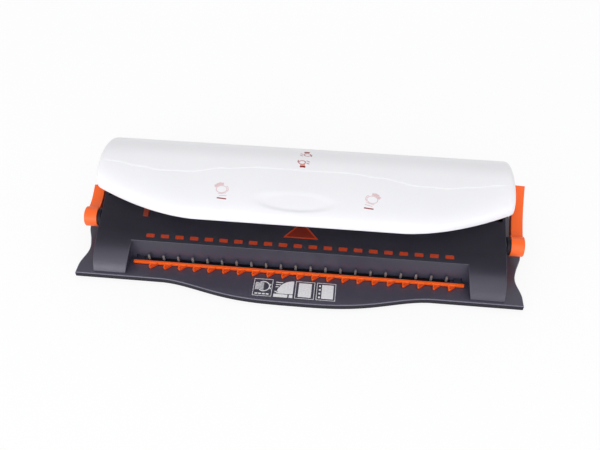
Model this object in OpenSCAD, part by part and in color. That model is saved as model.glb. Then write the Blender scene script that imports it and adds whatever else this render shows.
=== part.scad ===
// Desktop comb binding machine: a press cover punches a row of slots in a sheaf of paper,
// and two side levers spread a plastic comb on a toothed slider.
// Millimetres, +X to the right along the machine, -Y to the user, +Z up, origin under the middle.

/* [Base] */
// Width across the front corners of the base
base_w = 425; // [415:1:440]
// Depth over all, from the bulge at the front to the rear edge
base_depth = 166; // [160:1:180]
// Height of the rim of the base
base_h = 5.5; // [5:0.5:8]
// Thickness of the deck of the base
deck_t = 2.5; // [2:0.25:3]
// Thickness of the rim of the base
rim_t = 3; // [2:0.5:5]
// How far the middle of the front edge stands out
bulge = 16.5; // [8:0.5:20]
// Half width of the bulge
bulge_half = 130; // [100:5:150]
// Depth of the scallop in each side
scallop = 4.5; // [2:0.5:6]
// Half length of the scallop
scallop_half = 22; // [16:1:25]
// Half length of the swell beside each lever
swell_half = 18; // [14:1:22]
// How far the swell stands out past the lever
swell_over = 3.5; // [0.5:0.5:5]
// Radius of the rear corners
rear_round = 12; // [6:1:20]

/* [Feet and screws] */
// Height of the feet below the base
foot_h = 1.5; // [1:0.5:4]
// Diameter of a foot
foot_d = 14; // [10:1:18]
// Diameter of the stud that holds a foot
foot_stud_d = 5; // [3:0.5:6]
// Diameter of the screws
screw_d = 3; // [2:0.25:3.5]
// Diameter of the screw heads
screw_head_d = 5.6; // [5:0.2:6.4]
// Height of the screw heads
screw_head_h = 1.6; // [1:0.2:2]

/* [Body] */
// Width of the body
body_w = 391; // [385:1:395]
// Wall thickness of the body
wall = 2.5; // [2:0.25:3]
// Room between the front corners of the base and the front of the end blocks
front_margin = 3.2; // [1:0.2:6]
// Room between the rear wall and the rear edge of the base
rear_margin = 5; // [4:0.5:8]
// Depth of the rounded front of an end block
block_run = 24.3; // [20:0.5:28]
// Distance between the end blocks at the paper shelf
trough_w = 320; // [318:1:330]
// How far the inner side of a block leans
block_lean = 3.7; // [0:0.1:5]
// Height of the front edge of the paper shelf above the deck
shelf_h = 21.5; // [21:0.5:26]
// How far the wall behind the comb trough leans forward at its foot
trough_lean = 4; // [0:0.25:4.5]
// Slope of the paper shelf
shelf_angle = 20; // [17:1:22]
// Height of the side walls above the deck, behind the paper throat
cheek_h = 49; // [40:1:50]
// Height of the rear wall above the deck
rear_wall_h = 37; // [32:1:38]

/* [Cover] */
// Thickness of the cover
cover_t = 2.5; // [2:0.25:3]
// Gap between the cover and the sides of the body
skirt_gap = 1; // [0.6:0.1:1.5]
// Height of the mouth from the front edge of the shelf to the lip
mouth_h = 31.5; // [30:0.5:36]
// Height of the upright edge along the foot of the cover
lip_h = 1.5; // [1:0.25:3]
// Height of the crown above that edge
crown_h = 20; // [19:0.5:24]
// Distance of the lip behind the front edge of the shelf
lip_setback = 3.4; // [0:0.2:8]
// How far the ends of the lip stand back
lip_bow = 35; // [20:1:40]
// Half length of the straight stretch of the lip
lip_flat = 95; // [60:5:120]
// Radius of the rounded ends of the cover
end_round = 4; // [3:0.5:9]
// Distance of the crown behind the punched line
crown_back = 9; // [5:1:14]
// Gap between the cover and the rear wall
rear_gap = 1; // [0.8:0.1:2]
// Distance of the hinge in front of the rear wall
hinge_in = 12; // [10:0.5:14]
// Height of the hinge above the top of the rear wall
hinge_up = 6; // [4:0.5:8]
// Diameter of the hinge pins
hinge_pin_d = 6; // [4:0.5:7]

/* [Punch] */
// Number of slots
slots = 21; // [15:2:21]
// Distance between slots
slot_pitch = 14.2875; // [12.7:0.1:14.3]
// Width of a punch
punch_w = 8; // [5:0.5:9]
// Thickness of a punch
punch_t = 3; // [2:0.25:4]
// Clearance of a punch in its slot
punch_fit = 0.15; // [0.1:0.05:0.3]
// Distance of the punched line behind the front edge of the shelf
punch_back = 55; // [52:1:60]
// Height of the paper throat
throat = 2; // [1.5:0.1:2.5]
// Depth of the throat behind the punched line
throat_depth = 4.5; // [3:0.5:6]
// Thickness of the die plate
die_t = 5; // [4:0.5:6]
// Thickness of the punch guide plate
guide_t = 4; // [3:0.5:5]
// Travel of the punches
stroke = 6; // [5:0.25:6.5]
// How much longer each punch of three is than the next
stagger = 0.6; // [0:0.1:0.8]
// Height of the punch bar
bar_h = 6.5; // [6:0.5:7.5]
// Depth of the punch bar
bar_d = 14; // [12:0.5:16]
// Diameter of the posts that guide the punch bar
post_d = 6; // [4:0.5:7]
// Wire diameter of the return springs
wire_d = 0.8; // [0.6:0.1:1]
// Curls of a return spring
curls = 4; // [3:1:5]

/* [Comb opener] */
// Diameter of the lever shaft
shaft_d = 8; // [6:0.5:9]
// Distance of the lever shaft behind the front edge of the shelf
shaft_back = 28.8; // [26:0.4:32]
// Gap between the cover and the levers
lever_gap = 2; // [1.5:0.5:4]
// Diameter of a lever's hub
hub_d = 19.4; // [17:0.2:22]
// Width of a lever's hub
hub_w = 12.5; // [11:0.5:16]
// Width of an arm of the levers
arm_w = 11; // [9:0.5:12]
// Reach of the right lever's arm behind its hub
arm_back = 56; // [48:1:64]
// Rise of the right lever's arm above its hub
arm_up = 28; // [20:1:34]
// Reach of the shorter left arm behind its hub
left_arm_back = 37; // [30:1:46]
// Rise of the shorter left arm above its hub
left_arm_up = 9; // [5:1:14]
// Thickness of the arms
arm_t = 10; // [7:0.5:12]
// Splay of the arms away from the body, in degrees
arm_splay = 3; // [0:0.5:6]
// Teeth of a pinion on the lever shaft
pinion_teeth = 14; // [14:1:15]
// Teeth of an idler gear
idler_teeth = 12; // [12:1:13]
// Face width of the gears
gear_w = 6; // [4:0.5:7]
// Diameter of an idler's pin
idler_pin_d = 4; // [3:0.25:5]
// Turn of the levers from rest, in degrees
lever_turn = 90; // [70:1:95]
// Thickness of the slider
slider_t = 3.4; // [2.5:0.1:4]
// Depth of the strip that carries the teeth
strip_d = 2.6; // [2.4:0.1:5]
// Room between the tines and the strip
strip_gap = 2.2; // [0.4:0.1:3]
// Length of a tooth of the slider
tooth_l = 5.8; // [4:0.2:7]
// Width of a tooth at its root
tooth_w = 8; // [6:0.5:9]
// Height of a tine above the deck
tine_h = 8.5; // [7:0.5:11]
// Width of a tine
tine_w = 2; // [1.5:0.25:3]
// Thickness of a tine
tine_t = 1.5; // [1:0.1:2]
// Room between the tines and the foot of the wall behind the trough
tine_gap = 2; // [1.5:0.25:3]
// Thickness of the foot of the tine plate
tine_foot_t = 1.2; // [0.8:0.1:1.5]

/* [Frames and tray] */
// Thickness of the steel side frames and brackets
frame_t = 2; // [1.5:0.25:2.5]
// Gap between a side frame and the wall of the body
frame_gap = 7.5; // [7.2:0.1:8.5]
// Width of the chip tray
tray_w = 280; // [240:2:282]
// Height of the chip tray
tray_h = 24; // [16:1:26]
// Wall thickness of the chip tray
tray_wall = 2; // [1.5:0.25:3]
// Depth of the tray's finger grip
grip = 3; // [2:0.25:3.5]

/* [Hidden] */
$fn = 48;

// Fits and small clearances
press_fit = 0.02;
run_fit = 0.05;
slide_gap = 0.4;
side_gap = 0.8;
set_gap = 0.3;
hole_floor = 0.5;
screw_short = 1;
past = 1;
eps = 0.01;
far = 500;

// Colours
dark_plastic = [0.24, 0.23, 0.27];
white_plastic = [0.93, 0.93, 0.94];
orange_plastic = [0.95, 0.38, 0.12];
steel = [0.72, 0.73, 0.75];
dull_steel = [0.52, 0.53, 0.55];
black_rubber = [0.08, 0.08, 0.08];
nylon = [0.85, 0.83, 0.76];

// Levels and places that the pieces share
deck_z = foot_h + base_h;
base_half = base_w / 2;
corner_y = bulge - base_depth / 2;
rear_y = base_depth / 2;
body_half = body_w / 2;
block_y = corner_y + front_margin;
shelf_y = block_y + block_run;
trough_foot = shelf_y - trough_lean;
shelf_z = deck_z + shelf_h;
body_rear_y = rear_y - rear_margin;
wall_top_z = deck_z + rear_wall_h;
cheek_z = deck_z + cheek_h;

// Height of the shelf's plane at a place along Y
function shelf_plane(y) = shelf_z + (y - shelf_y) * tan(shelf_angle);
// Vertical drop from the shelf's plane to a plane that lies d under it
function drop(d) = d / cos(shelf_angle);

// The punch unit lies square to the shelf: v runs up the shelf, w stands off it
punch_y = shelf_y + punch_back;
punch_z = shelf_plane(punch_y);
die_front = -12;
die_rear = 14;
guide_front = -9;
guide_w0 = throat;
guide_w1 = throat + guide_t;
bar_rise = 0.4;
post_out = 25;
bar_w0 = guide_w1 + bar_rise + stroke;
bar_w1 = bar_w0 + bar_h;
pin_tip_w = throat + bar_rise;
pin_seat = 2;
slot_row = (slots - 1) / 2 * slot_pitch;
post_x = slot_row + post_out;

// Where the shelf ends at the die plate
shelf_rear_v = die_front - set_gap;
shelf_rear_y = punch_y + shelf_rear_v * cos(shelf_angle);

// Side frames
frame_out = body_half - wall - frame_gap;
frame_in = frame_out - frame_t;
frame_foot = 10;
frame_foot_front = 6;
frame_foot_rear = 2;

// Hinge of the cover
hinge_y = body_rear_y - hinge_in;
hinge_z = wall_top_z + hinge_up;
hinge_side_gap = 1;
hinge_flange_up = 13;
hinge_plate_in = frame_out + hinge_side_gap;
hinge_plate_out = hinge_plate_in + frame_t;
hinge_flange_z = hinge_z + hinge_flange_up;

// Cover
cover_half = body_half + skirt_gap + cover_t;
lip_y = shelf_y + lip_setback;
lip_z = shelf_z + mouth_h + lip_h;
top_z = lip_z + crown_h;
crown_y = punch_y + crown_back;
cover_rear_y = body_rear_y + rear_gap + cover_t;
rear_lift = 2;
cover_rear_z = wall_top_z + rear_lift + lip_h;

// Press pads under the cover, just clear of the punch bar
pad_r = 4;
pad_gap = 0.3;
pad_l = 20;
pad_spread = 0.8;
pad_x = [-slot_row * pad_spread, 0, slot_row * pad_spread];
pad_w = bar_w1 + pad_gap + pad_r;
pad_y = punch_y - pad_w * sin(shelf_angle);
pad_z = punch_z + pad_w * cos(shelf_angle);

// Gears of module 1 with a pressure angle that needs no undercut at 12 teeth
gear_module = 1;
pressure = 25;
addendum = 0.9 * gear_module;
dedendum = 1.15 * gear_module;
backlash = 0.2;
pinion_r = pinion_teeth * gear_module / 2;
idler_r = idler_teeth * gear_module / 2;
gear_clear = 0.8;

// Lever shaft, under the shelf and clear of it by the pinion's own size
shaft_y = shelf_y + shaft_back;
shaft_z = shelf_plane(shaft_y) - drop(wall + gear_clear + pinion_r + addendum);
lever_in = cover_half + lever_gap;
lever_out = lever_in + hub_w;
arm_set = 1.5;
collar_gap = 2;
collar_wall = 4.7;
collar_in = body_half + collar_gap;
collar_d = shaft_d + 2 * collar_wall;
shaft_inset = 3.5;
shaft_end = lever_out - shaft_inset;
bore_gap = 0.2;
lever_bore_end = shaft_end + bore_gap;
lever_screw_d = shaft_d / 2;
lever_screw_l = 8;
lever_head_in = 2.5;
lever_head_seat = lever_out - lever_head_in;

// Slider on the deck, its rack under the idlers
slider_z = deck_z + slide_gap;
slider_top = slider_z + slider_t;
rack_line = slider_top + dedendum;
slider_travel = pinion_r * lever_turn * PI / 180;
tine_y = trough_foot - tine_gap;
strip_rear = tine_y - tine_t / 2 - strip_gap;
strip_front = strip_rear - strip_d;
tooth_dx = 0.5;
tine_dx = -0.95;

// Idlers, each between a pinion and a rack
idler_z = rack_line + idler_r;
gear_span = pinion_r + idler_r;
idler_y = shaft_y - sqrt(pow(gear_span, 2) - pow(shaft_z - idler_z, 2));
mesh_angle = atan2(idler_z - shaft_z, idler_y - shaft_y);
idler_turn = mesh_angle + 180 + 180 / idler_teeth;
gear_side = 7.2;
gear_in = slot_row + gear_side;
gear_out = gear_in + gear_w;
gear_hub = 1.6;
gear_hub_wall = 1.5;
gear_plate_in = gear_out + gear_hub + set_gap;
gear_plate_out = gear_plate_in + frame_t;
arm_over = 0.5;
arm_in = gear_in - arm_over;
arm_out = gear_out + arm_over;
// Thinner neck of an arm, from the strip to the inside of the wall
neck_t = 1.4;
neck_y = trough_foot + wall;
rack_over = 4;
rack_end = 1.5;
rack_y = idler_y + slider_travel + rack_over;
strip_over = 2;
strip_half = arm_out + strip_over;
rack_door = 0.8;

// Chip tray
tray_z = deck_z + slide_gap;
tray_half = tray_w / 2;
tray_clear = 4;
tray_front = shaft_y + shaft_d / 2 + tray_clear;
tray_face = 2;

// Places of feet and screws
foot_in = 1;
foot_edge = rim_t + foot_d / 2 + foot_in;
foot_x = base_half - foot_edge;
foot_y = [corner_y + foot_edge, rear_y - foot_edge];
post_r = frame_gap / 2 - set_gap;
corner_x = frame_out + frame_gap / 2;
corner_front_in = 6;
corner_rear_in = 9;
corner_screw_y = [shelf_y - corner_front_in, body_rear_y - corner_rear_in];
screw_boss = 4;
screw_l = 9;

// Shared shapes

// Runs a drawing of (Y, Z) along X
module along_x(x0, x1) {
    translate([x0, 0, 0]) rotate([90, 0, 90]) linear_extrude(x1 - x0) children();
}

// A round bar along X
module rod_x(x0, x1, y, z, d) {
    translate([x0, y, z]) rotate([0, 90, 0]) cylinder(d = d, h = x1 - x0);
}

// A box from its corners
module block(p0, p1) {
    translate(p0) cube(p1 - p0);
}

// Both sides, mirrored
module both_sides() {
    for (s = [0, 1]) mirror([s, 0, 0]) children();
}

// The punch unit's own frame
module on_shelf() {
    translate([0, punch_y, punch_z]) rotate([shelf_angle, 0, 0]) children();
}

// A point on a curve of four control points
function curve(p, t) = pow(1 - t, 3) * p[0] + 3 * t * pow(1 - t, 2) * p[1]
    + 3 * t * t * (1 - t) * p[2] + pow(t, 3) * p[3];
// n + 1 points along such a curve
function curve_points(p, n) = [for (i = [0:n]) curve(p, i / n)];

// A pan head screw that points down from z = 0
module screw_down(l) {
    cylinder(d = screw_head_d, h = screw_head_h);
    translate([0, 0, -l]) cylinder(d = screw_d, h = l + eps);
}

// The hole that takes such a screw, and the room for its thread
module screw_hole(l) {
    translate([0, 0, -l - eps]) cylinder(d = screw_d + 2 * press_fit, h = l + 2 * eps);
}

// Base

bulge_power = 1.6;
// Front edge of the base, bulging in the middle
function front_edge(x) = abs(x) >= bulge_half ? corner_y
    : corner_y - bulge * pow(cos(90 * pow(abs(x) / bulge_half, bulge_power)), 2);
// A smooth hump of height 1 and half length h
function hump(d, h) = abs(d) >= h ? 0 : pow(cos(90 * d / h), 2);
// Side edge of the base, hollow beside the block and swelling beside the lever
swell_back = 7;
scallop_ahead = 25;
swell_y = shaft_y + swell_back;
scallop_y = shaft_y - scallop_ahead;
swell = lever_out + swell_over - base_half;
function side_edge(y) = base_half - scallop * hump(y - scallop_y, scallop_half)
    + swell * hump(y - swell_y, swell_half);

front_steps = 64;
side_steps = 36;
round_steps = 6;
function base_outline(inset) = concat(
    [for (i = [0:front_steps]) let (x = base_half * (2 * i / front_steps - 1))
        [x * (1 - inset / base_half), front_edge(x) + inset]],
    [for (i = [1:side_steps]) let (y = corner_y + (rear_y - rear_round - corner_y) * i / side_steps)
        [side_edge(y) - inset, y]],
    [for (i = [1:round_steps]) let (a = 90 * i / round_steps)
        [base_half - rear_round + (rear_round - inset) * cos(a),
            rear_y - rear_round + (rear_round - inset) * sin(a)]],
    [for (i = [0:round_steps - 1]) let (a = 90 + 90 * i / round_steps)
        [-base_half + rear_round + (rear_round - inset) * cos(a),
            rear_y - rear_round + (rear_round - inset) * sin(a)]],
    [for (i = [side_steps:-1:1]) let (y = corner_y + (rear_y - rear_round - corner_y) * i / side_steps)
        [-side_edge(y) + inset, y]]);

// The places where screws from above go into the deck
frame_screw_x = frame_in - frame_foot / 2;
frame_screw_front = 10;
frame_screw_rear = 6;
frame_screw_y = [shaft_y + frame_screw_front, hinge_y - frame_screw_rear];
bracket_foot = 8;
head_room = 0.5;
bracket_front = idler_y - idler_pin_d;
bracket_rear = shaft_y + shaft_d;
bracket_screw_x = gear_plate_out + bracket_foot / 2;
bracket_screw_in = screw_head_d / 2 + head_room;
bracket_screw_y = [bracket_front + bracket_screw_in, bracket_rear - bracket_screw_in];
tine_screw_spread = 0.7;
tine_screw_in = 4;
tine_screw_x = [-slot_row * tine_screw_spread, 0, slot_row * tine_screw_spread];
tine_screw_y = shelf_y + wall + tine_screw_in;

// Puts its child at each place where a screw from above goes into the deck
module deck_screw_places() {
    both_sides() {
        for (y = frame_screw_y) translate([frame_screw_x, y, deck_z]) children();
        for (y = bracket_screw_y) translate([bracket_screw_x, y, deck_z]) children();
    }
    for (x = tine_screw_x) translate([x, tine_screw_y, deck_z]) children();
}

module foot_places() {
    for (x = [-foot_x, 0, foot_x], y = foot_y) translate([x, y, 0]) children();
}

module corner_places() {
    both_sides() for (y = corner_screw_y) translate([corner_x, y, 0]) children();
}

rail_w = 2;
rail_h = 4;
deck_boss_h = base_h - deck_t;
corner_head_z = foot_h + set_gap;

module base_plate() {
    color(dark_plastic) difference() {
        union() {
            difference() {
                translate([0, 0, foot_h]) linear_extrude(base_h) polygon(base_outline(0));
                translate([0, 0, foot_h - eps])
                    linear_extrude(deck_boss_h + eps) polygon(base_outline(rim_t));
            }
            foot_places() translate([0, 0, foot_h]) cylinder(d = foot_d, h = deck_boss_h + eps);
            corner_places() translate([0, 0, foot_h]) cylinder(r = screw_boss, h = deck_boss_h + eps);
            translate([0, 0, -deck_t - deck_boss_h]) deck_screw_places()
                cylinder(r = screw_boss, h = deck_boss_h + eps);
            both_sides() block([tray_half + side_gap, tray_front, deck_z - eps],
                [tray_half + side_gap + rail_w, body_rear_y - wall - side_gap, deck_z + rail_h]);
        }
        foot_places() translate([0, 0, foot_h - eps])
            cylinder(d = foot_stud_d + 2 * press_fit, h = deck_boss_h);
        corner_places() {
            cylinder(d = screw_d + 2 * side_gap, h = deck_z + eps);
            cylinder(d = screw_head_d + 2 * run_fit, h = corner_head_z + screw_head_h);
        }
        deck_screw_places() screw_hole(base_h - hole_floor);
    }
}

module rubber_feet() {
    color(black_rubber) foot_places() {
        cylinder(d = foot_d, h = foot_h);
        cylinder(d = foot_stud_d, h = foot_h + deck_boss_h - hole_floor);
    }
}

module base_screws() {
    color(dull_steel) corner_places() translate([0, 0, corner_head_z + screw_head_h])
        mirror([0, 0, 1]) screw_down(screw_l + deck_t);
}

// Body

// The rounded front of an end block, from the deck to the shelf
block_nose = 4;
block_swell = 0.45;
shelf_lead = 10;
block_steps = 10;
block_curve = curve_points([[block_y, deck_z], [block_y + block_nose, deck_z + shelf_h * block_swell],
    [shelf_y - shelf_lead * cos(shelf_angle), shelf_z - shelf_lead * sin(shelf_angle)],
    [shelf_y, shelf_z]], block_steps);
// Share of the block that its hollow takes, so that its front keeps the wall's thickness
hollow_front = 1.15;
hollow = 1 - hollow_front * wall / shelf_h;
hollow_curve = [for (p = block_curve)
    [shelf_y + (p[0] - shelf_y) * hollow, deck_z + (p[1] - deck_z) * hollow]];

// A block's wedge, and the hollow in it, open below and to the rear
module block_drawing() {
    polygon(concat(block_curve, [[shelf_y, deck_z]]));
}
module hollow_drawing() {
    first = hollow_curve[0];
    last = hollow_curve[block_steps];
    polygon(concat([[first[0], deck_z - past]], hollow_curve,
        [[shelf_y + past, last[1]], [shelf_y + past, deck_z - past]]));
}

// Cuts away what lies inside a block's leaning inner side
module inner_side(inset) {
    lean = atan(block_lean / shelf_h);
    translate([trough_w / 2 + inset, 0, shelf_z]) rotate([0, -lean, 0])
        block([-far, -far, -far], [0, far, far]);
}

module end_block() {
    difference() {
        along_x(trough_w / 2, body_half - wall / 2) block_drawing();
        inner_side(0);
        difference() {
            along_x(trough_w / 2, body_half - wall) hollow_drawing();
            inner_side(wall);
        }
    }
}

// Side wall: block front, shelf line, then level to the rear
module cheek_drawing() {
    cheek_y = shelf_y + (cheek_z - shelf_z) / tan(shelf_angle);
    polygon(concat(block_curve, [[cheek_y, cheek_z], [body_rear_y, wall_top_z], [body_rear_y, deck_z]]));
}

// The shelf in section
module shelf_drawing() {
    translate([punch_y, punch_z]) rotate(shelf_angle) {
        front = (shelf_y - punch_y) / cos(shelf_angle);
        translate([front, -wall]) square([shelf_rear_v - front, wall]);
    }
}

// A post for a screw from below, with a rib to the side wall
post_rib = 3;
module corner_post() {
    post_h = screw_l + 2 * screw_short;
    translate([0, 0, deck_z]) difference() {
        union() {
            cylinder(r = post_r, h = post_h);
            block([0, -post_rib / 2, 0], [body_half - wall / 2 - corner_x, post_rib / 2, post_h]);
        }
        translate([0, 0, -eps]) cylinder(d = screw_d + 2 * press_fit, h = screw_l + screw_short);
    }
}

module body_shell() {
    color(dark_plastic) difference() {
        union() {
            both_sides() {
                along_x(body_half - wall, body_half) cheek_drawing();
                end_block();
            }
            along_x(-body_half + wall / 2, body_half - wall / 2) shelf_drawing();
            // Wall behind the comb trough
            along_x(-body_half + wall / 2, body_half - wall / 2) polygon([[trough_foot, deck_z],
                [shelf_y, shelf_z], [shelf_y + wall, shelf_plane(shelf_y + wall)],
                [trough_foot + wall, deck_z]]);
            // Rear wall
            block([-body_half + wall / 2, body_rear_y - wall, deck_z],
                [body_half - wall / 2, body_rear_y, wall_top_z]);
            corner_places() corner_post();
        }
        // Doors for the slider's rack arms, and the slit for the tine plate's foot
        both_sides() block([arm_in - rack_door, trough_foot - eps, deck_z - past],
            [arm_out + rack_door, shelf_y + wall + eps, slider_top + rack_door]);
        block([-tine_plate_half - rack_door, trough_foot - eps, deck_z - past],
            [tine_plate_half + rack_door, shelf_y + wall + eps, deck_z + tine_foot_t + bore_gap]);
        // Door for the chip tray
        block([-tray_half - side_gap, body_rear_y - wall - eps, deck_z - past],
            [tray_half + side_gap, body_rear_y + eps, tray_z + tray_h + side_gap]);
        // Holes for the lever shaft
        both_sides() rod_x(body_half - wall - past, body_half + past, shaft_y, shaft_z,
            shaft_d + 2 * slide_gap);
    }
}

// Frames

frame_head = 14;
frame_front = 11;
frame_clear = 0.5;
frame_heel = 8;
frame_step = 3;
frame_shoulder = 18;
hinge_ear_r = 7;
frame_head_z = punch_z + frame_head;
frame_low_y = shaft_y - frame_front;
module frame_drawing() {
    difference() {
        union() {
            // Low front, under the shelf
            polygon([[frame_low_y, deck_z],
                [frame_low_y, shelf_plane(frame_low_y) - drop(wall + frame_clear)],
                [shelf_rear_y, shelf_plane(shelf_rear_y) - drop(wall + frame_clear)],
                [hinge_y + frame_heel, deck_z]]);
            // High rear, beside the punch unit
            polygon([[shelf_rear_y + frame_step, deck_z], [shelf_rear_y + frame_step, frame_head_z],
                [punch_y + frame_shoulder, frame_head_z], [hinge_y, hinge_z + hinge_ear_r],
                [hinge_y + frame_heel, deck_z]]);
            translate([hinge_y, hinge_z]) circle(r = hinge_ear_r);
        }
        translate([shaft_y, shaft_z]) circle(d = bush_d + 2 * press_fit);
        translate([hinge_y, hinge_z]) circle(d = hinge_pin_d + 2 * press_fit);
    }
}

module side_frame() {
    color(dull_steel) difference() {
        union() {
            along_x(frame_in, frame_out) frame_drawing();
            block([frame_in - frame_foot, shaft_y - frame_foot_front, deck_z],
                [frame_in + eps, hinge_y + frame_foot_rear, deck_z + frame_t]);
        }
        plate_screw_places() rotate([0, 90, 0]) screw_hole(plate_screw_l);
        for (y = frame_screw_y) translate([frame_screw_x, y, deck_z + frame_t]) screw_hole(screw_l);
    }
}
module left_frame() { mirror([1, 0, 0]) side_frame(); }
module right_frame() { side_frame(); }

module frame_screws() {
    color(dull_steel) both_sides() for (y = frame_screw_y)
        translate([frame_screw_x, y, deck_z + frame_t]) screw_down(frame_t + base_h - screw_short);
}

// Gear brackets, which carry the idlers and steady the shaft
bracket_brow = 1;
bracket_rim = 3;
module gear_bracket() {
    color(dull_steel) difference() {
        union() {
            along_x(gear_plate_in, gear_plate_out) union() {
                polygon([[bracket_front, deck_z], [bracket_front, idler_z + idler_pin_d],
                    [idler_y, idler_z + idler_pin_d + bracket_brow],
                    [shaft_y - shaft_d / 2 - bracket_brow, shaft_z + shaft_d / 2],
                    [bracket_rear, shaft_z], [bracket_rear, deck_z]]);
                translate([shaft_y, shaft_z]) circle(r = shaft_d / 2 + bracket_rim);
            }
            block([gear_plate_out - eps, bracket_front, deck_z],
                [gear_plate_out + bracket_foot, bracket_rear, deck_z + frame_t]);
        }
        rod_x(gear_plate_in - past, gear_plate_out + past, shaft_y, shaft_z, shaft_d + 2 * run_fit);
        rod_x(gear_plate_in - past, gear_plate_out + past, idler_y, idler_z, idler_pin_d + 2 * press_fit);
        for (y = bracket_screw_y) translate([bracket_screw_x, y, deck_z + frame_t]) screw_hole(screw_l);
    }
}
module left_gear_bracket() { mirror([1, 0, 0]) gear_bracket(); }
module right_gear_bracket() { gear_bracket(); }

module bracket_screws() {
    color(dull_steel) both_sides() for (y = bracket_screw_y)
        translate([bracket_screw_x, y, deck_z + frame_t]) screw_down(frame_t + base_h - screw_short);
}

pin_head_t = 1.5;
pin_head_rim = 1.2;
module idler_pins() {
    color(steel) both_sides() {
        rod_x(gear_in - set_gap, gear_plate_out, idler_y, idler_z, idler_pin_d);
        rod_x(gear_in - set_gap - pin_head_t, gear_in - set_gap, idler_y, idler_z,
            idler_pin_d + 2 * pin_head_rim);
    }
}

bush_wall = 2;
bush_flange = 2;
bush_d = shaft_d + 2 * bush_wall;
bush_flange_d = bush_d + 2 * bush_flange;
bush_flange_t = 1.5;
bush_nose = 1.5;
module shaft_bushes() {
    color(nylon) both_sides() difference() {
        union() {
            rod_x(frame_in - bush_nose, frame_out, shaft_y, shaft_z, bush_d);
            rod_x(frame_out, frame_out + bush_flange_t, shaft_y, shaft_z, bush_flange_d);
        }
        rod_x(frame_in - bush_nose - past, frame_out + bush_flange_t + past, shaft_y, shaft_z,
            shaft_d + 2 * run_fit);
    }
}

// Tines that hold the comb

tine_margin = 1;
tine_plate_half = slot_row + tine_w + tine_margin;
module tine_plate() {
    color(steel) difference() {
        union() {
            block([-tine_plate_half, tine_y - tine_t / 2, deck_z],
                [tine_plate_half, tine_screw_y + screw_head_d / 2 + tine_margin, deck_z + tine_foot_t]);
            for (i = [0:slots - 1]) translate([i * slot_pitch - slot_row + tine_dx, tine_y, deck_z]) {
                block([-tine_w / 2, -tine_t / 2, 0], [tine_w / 2, tine_t / 2, tine_h - tine_w / 2]);
                translate([0, 0, tine_h - tine_w / 2]) rotate([90, 0, 0])
                    cylinder(d = tine_w, h = tine_t, center = true);
            }
        }
        for (x = tine_screw_x) translate([x, tine_screw_y, deck_z + tine_foot_t]) screw_hole(screw_l);
    }
}

module tine_screws() {
    color(dull_steel) for (x = tine_screw_x)
        translate([x, tine_screw_y, deck_z + tine_foot_t]) screw_down(tine_foot_t + base_h - screw_short);
}

// Punch unit

// Slots for the punches, through a plate from w0 to w1
module punch_slots(w0, w1, fit) {
    for (i = [0:slots - 1]) translate([i * slot_pitch - slot_row, 0, 0])
        block([-punch_w / 2 - fit, -punch_t / 2 - fit, w0], [punch_w / 2 + fit, punch_t / 2 + fit, w1]);
}

plate_screw_d = 2.5;
plate_screw_l = 10;
plate_screw_in = 4;
plate_screw_v = die_rear - plate_screw_in;
plate_head_d = 1.8 * plate_screw_d;
plate_head_h = 0.5 * plate_screw_d;
// Screws along X that hold the plates between the frames, on the right side
module plate_screw_places() {
    for (w = [-die_t / 2, guide_w0 + guide_t / 2])
        translate([frame_out, 0, 0]) on_shelf() translate([0, plate_screw_v, w]) children();
}
module plate_screw_thread(d) {
    translate([-frame_t - plate_screw_l, 0, 0]) rotate([0, 90, 0])
        cylinder(d = d, h = frame_t + plate_screw_l);
}

// A plate between the frames, in the punch unit's own frame
module unit_plate(v0, v1, w0, w1) {
    difference() {
        on_shelf() block([-frame_in, v0, w0], [frame_in, v1, w1]);
        both_sides() plate_screw_places() plate_screw_thread(plate_screw_d + 2 * press_fit);
    }
}

module die_plate() {
    color(steel) difference() {
        unit_plate(die_front, die_rear, -die_t, 0);
        on_shelf() punch_slots(-die_t - past, past, punch_fit);
    }
}

module throat_stop() {
    color(dull_steel) on_shelf() block([-frame_in, throat_depth, 0], [frame_in, die_rear, throat]);
}

stop_w = 5;
stop_front = -33;
sheet_half = 148.5;
module edge_stop() {
    color(orange_plastic) on_shelf() block([-sheet_half - stop_w, stop_front, 0],
        [-sheet_half, throat_depth, throat]);
}

module guide_plate() {
    color(steel) difference() {
        unit_plate(guide_front, die_rear, guide_w0, guide_w1);
        on_shelf() {
            punch_slots(0, guide_w1 + past, punch_fit);
            both_sides() translate([post_x, 0, 0])
                cylinder(d = post_d + 2 * press_fit, h = guide_w1 + past);
        }
    }
}

module plate_screws() {
    color(dull_steel) both_sides() plate_screw_places() {
        plate_screw_thread(plate_screw_d);
        rotate([0, 90, 0]) cylinder(d = plate_head_d, h = plate_head_h);
    }
}

post_top_w = bar_w1 - bar_rise;
module guide_posts() {
    color(steel) on_shelf() both_sides() translate([post_x, 0, guide_w0])
        cylinder(d = post_d, h = post_top_w - guide_w0);
}

// Return springs, one unbroken tube each, in a counterbore of the punch bar
spring_clear = 0.5;
spring_roof = 2;
spring_r = post_d / 2 + spring_clear + wire_d / 2;
spring_room_r = spring_r + wire_d / 2 + spring_clear;
spring_w0 = guide_w1 + wire_d / 2;
spring_w1 = bar_w1 - spring_roof - wire_d / 2;
curl_rings = 8;
ring_sides = 6;
// Centre of the wire after a number of curls
function spring_point(n) = [spring_r * cos(360 * n), spring_r * sin(360 * n),
    spring_w0 + (spring_w1 - spring_w0) * n / curls];
function spring_ring(n) = [for (k = [0:ring_sides - 1])
    let (a = 360 * k / ring_sides, c = spring_point(n))
    [c[0] + wire_d / 2 * cos(a) * cos(360 * n), c[1] + wire_d / 2 * cos(a) * sin(360 * n),
        c[2] + wire_d / 2 * sin(a)]];
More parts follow.
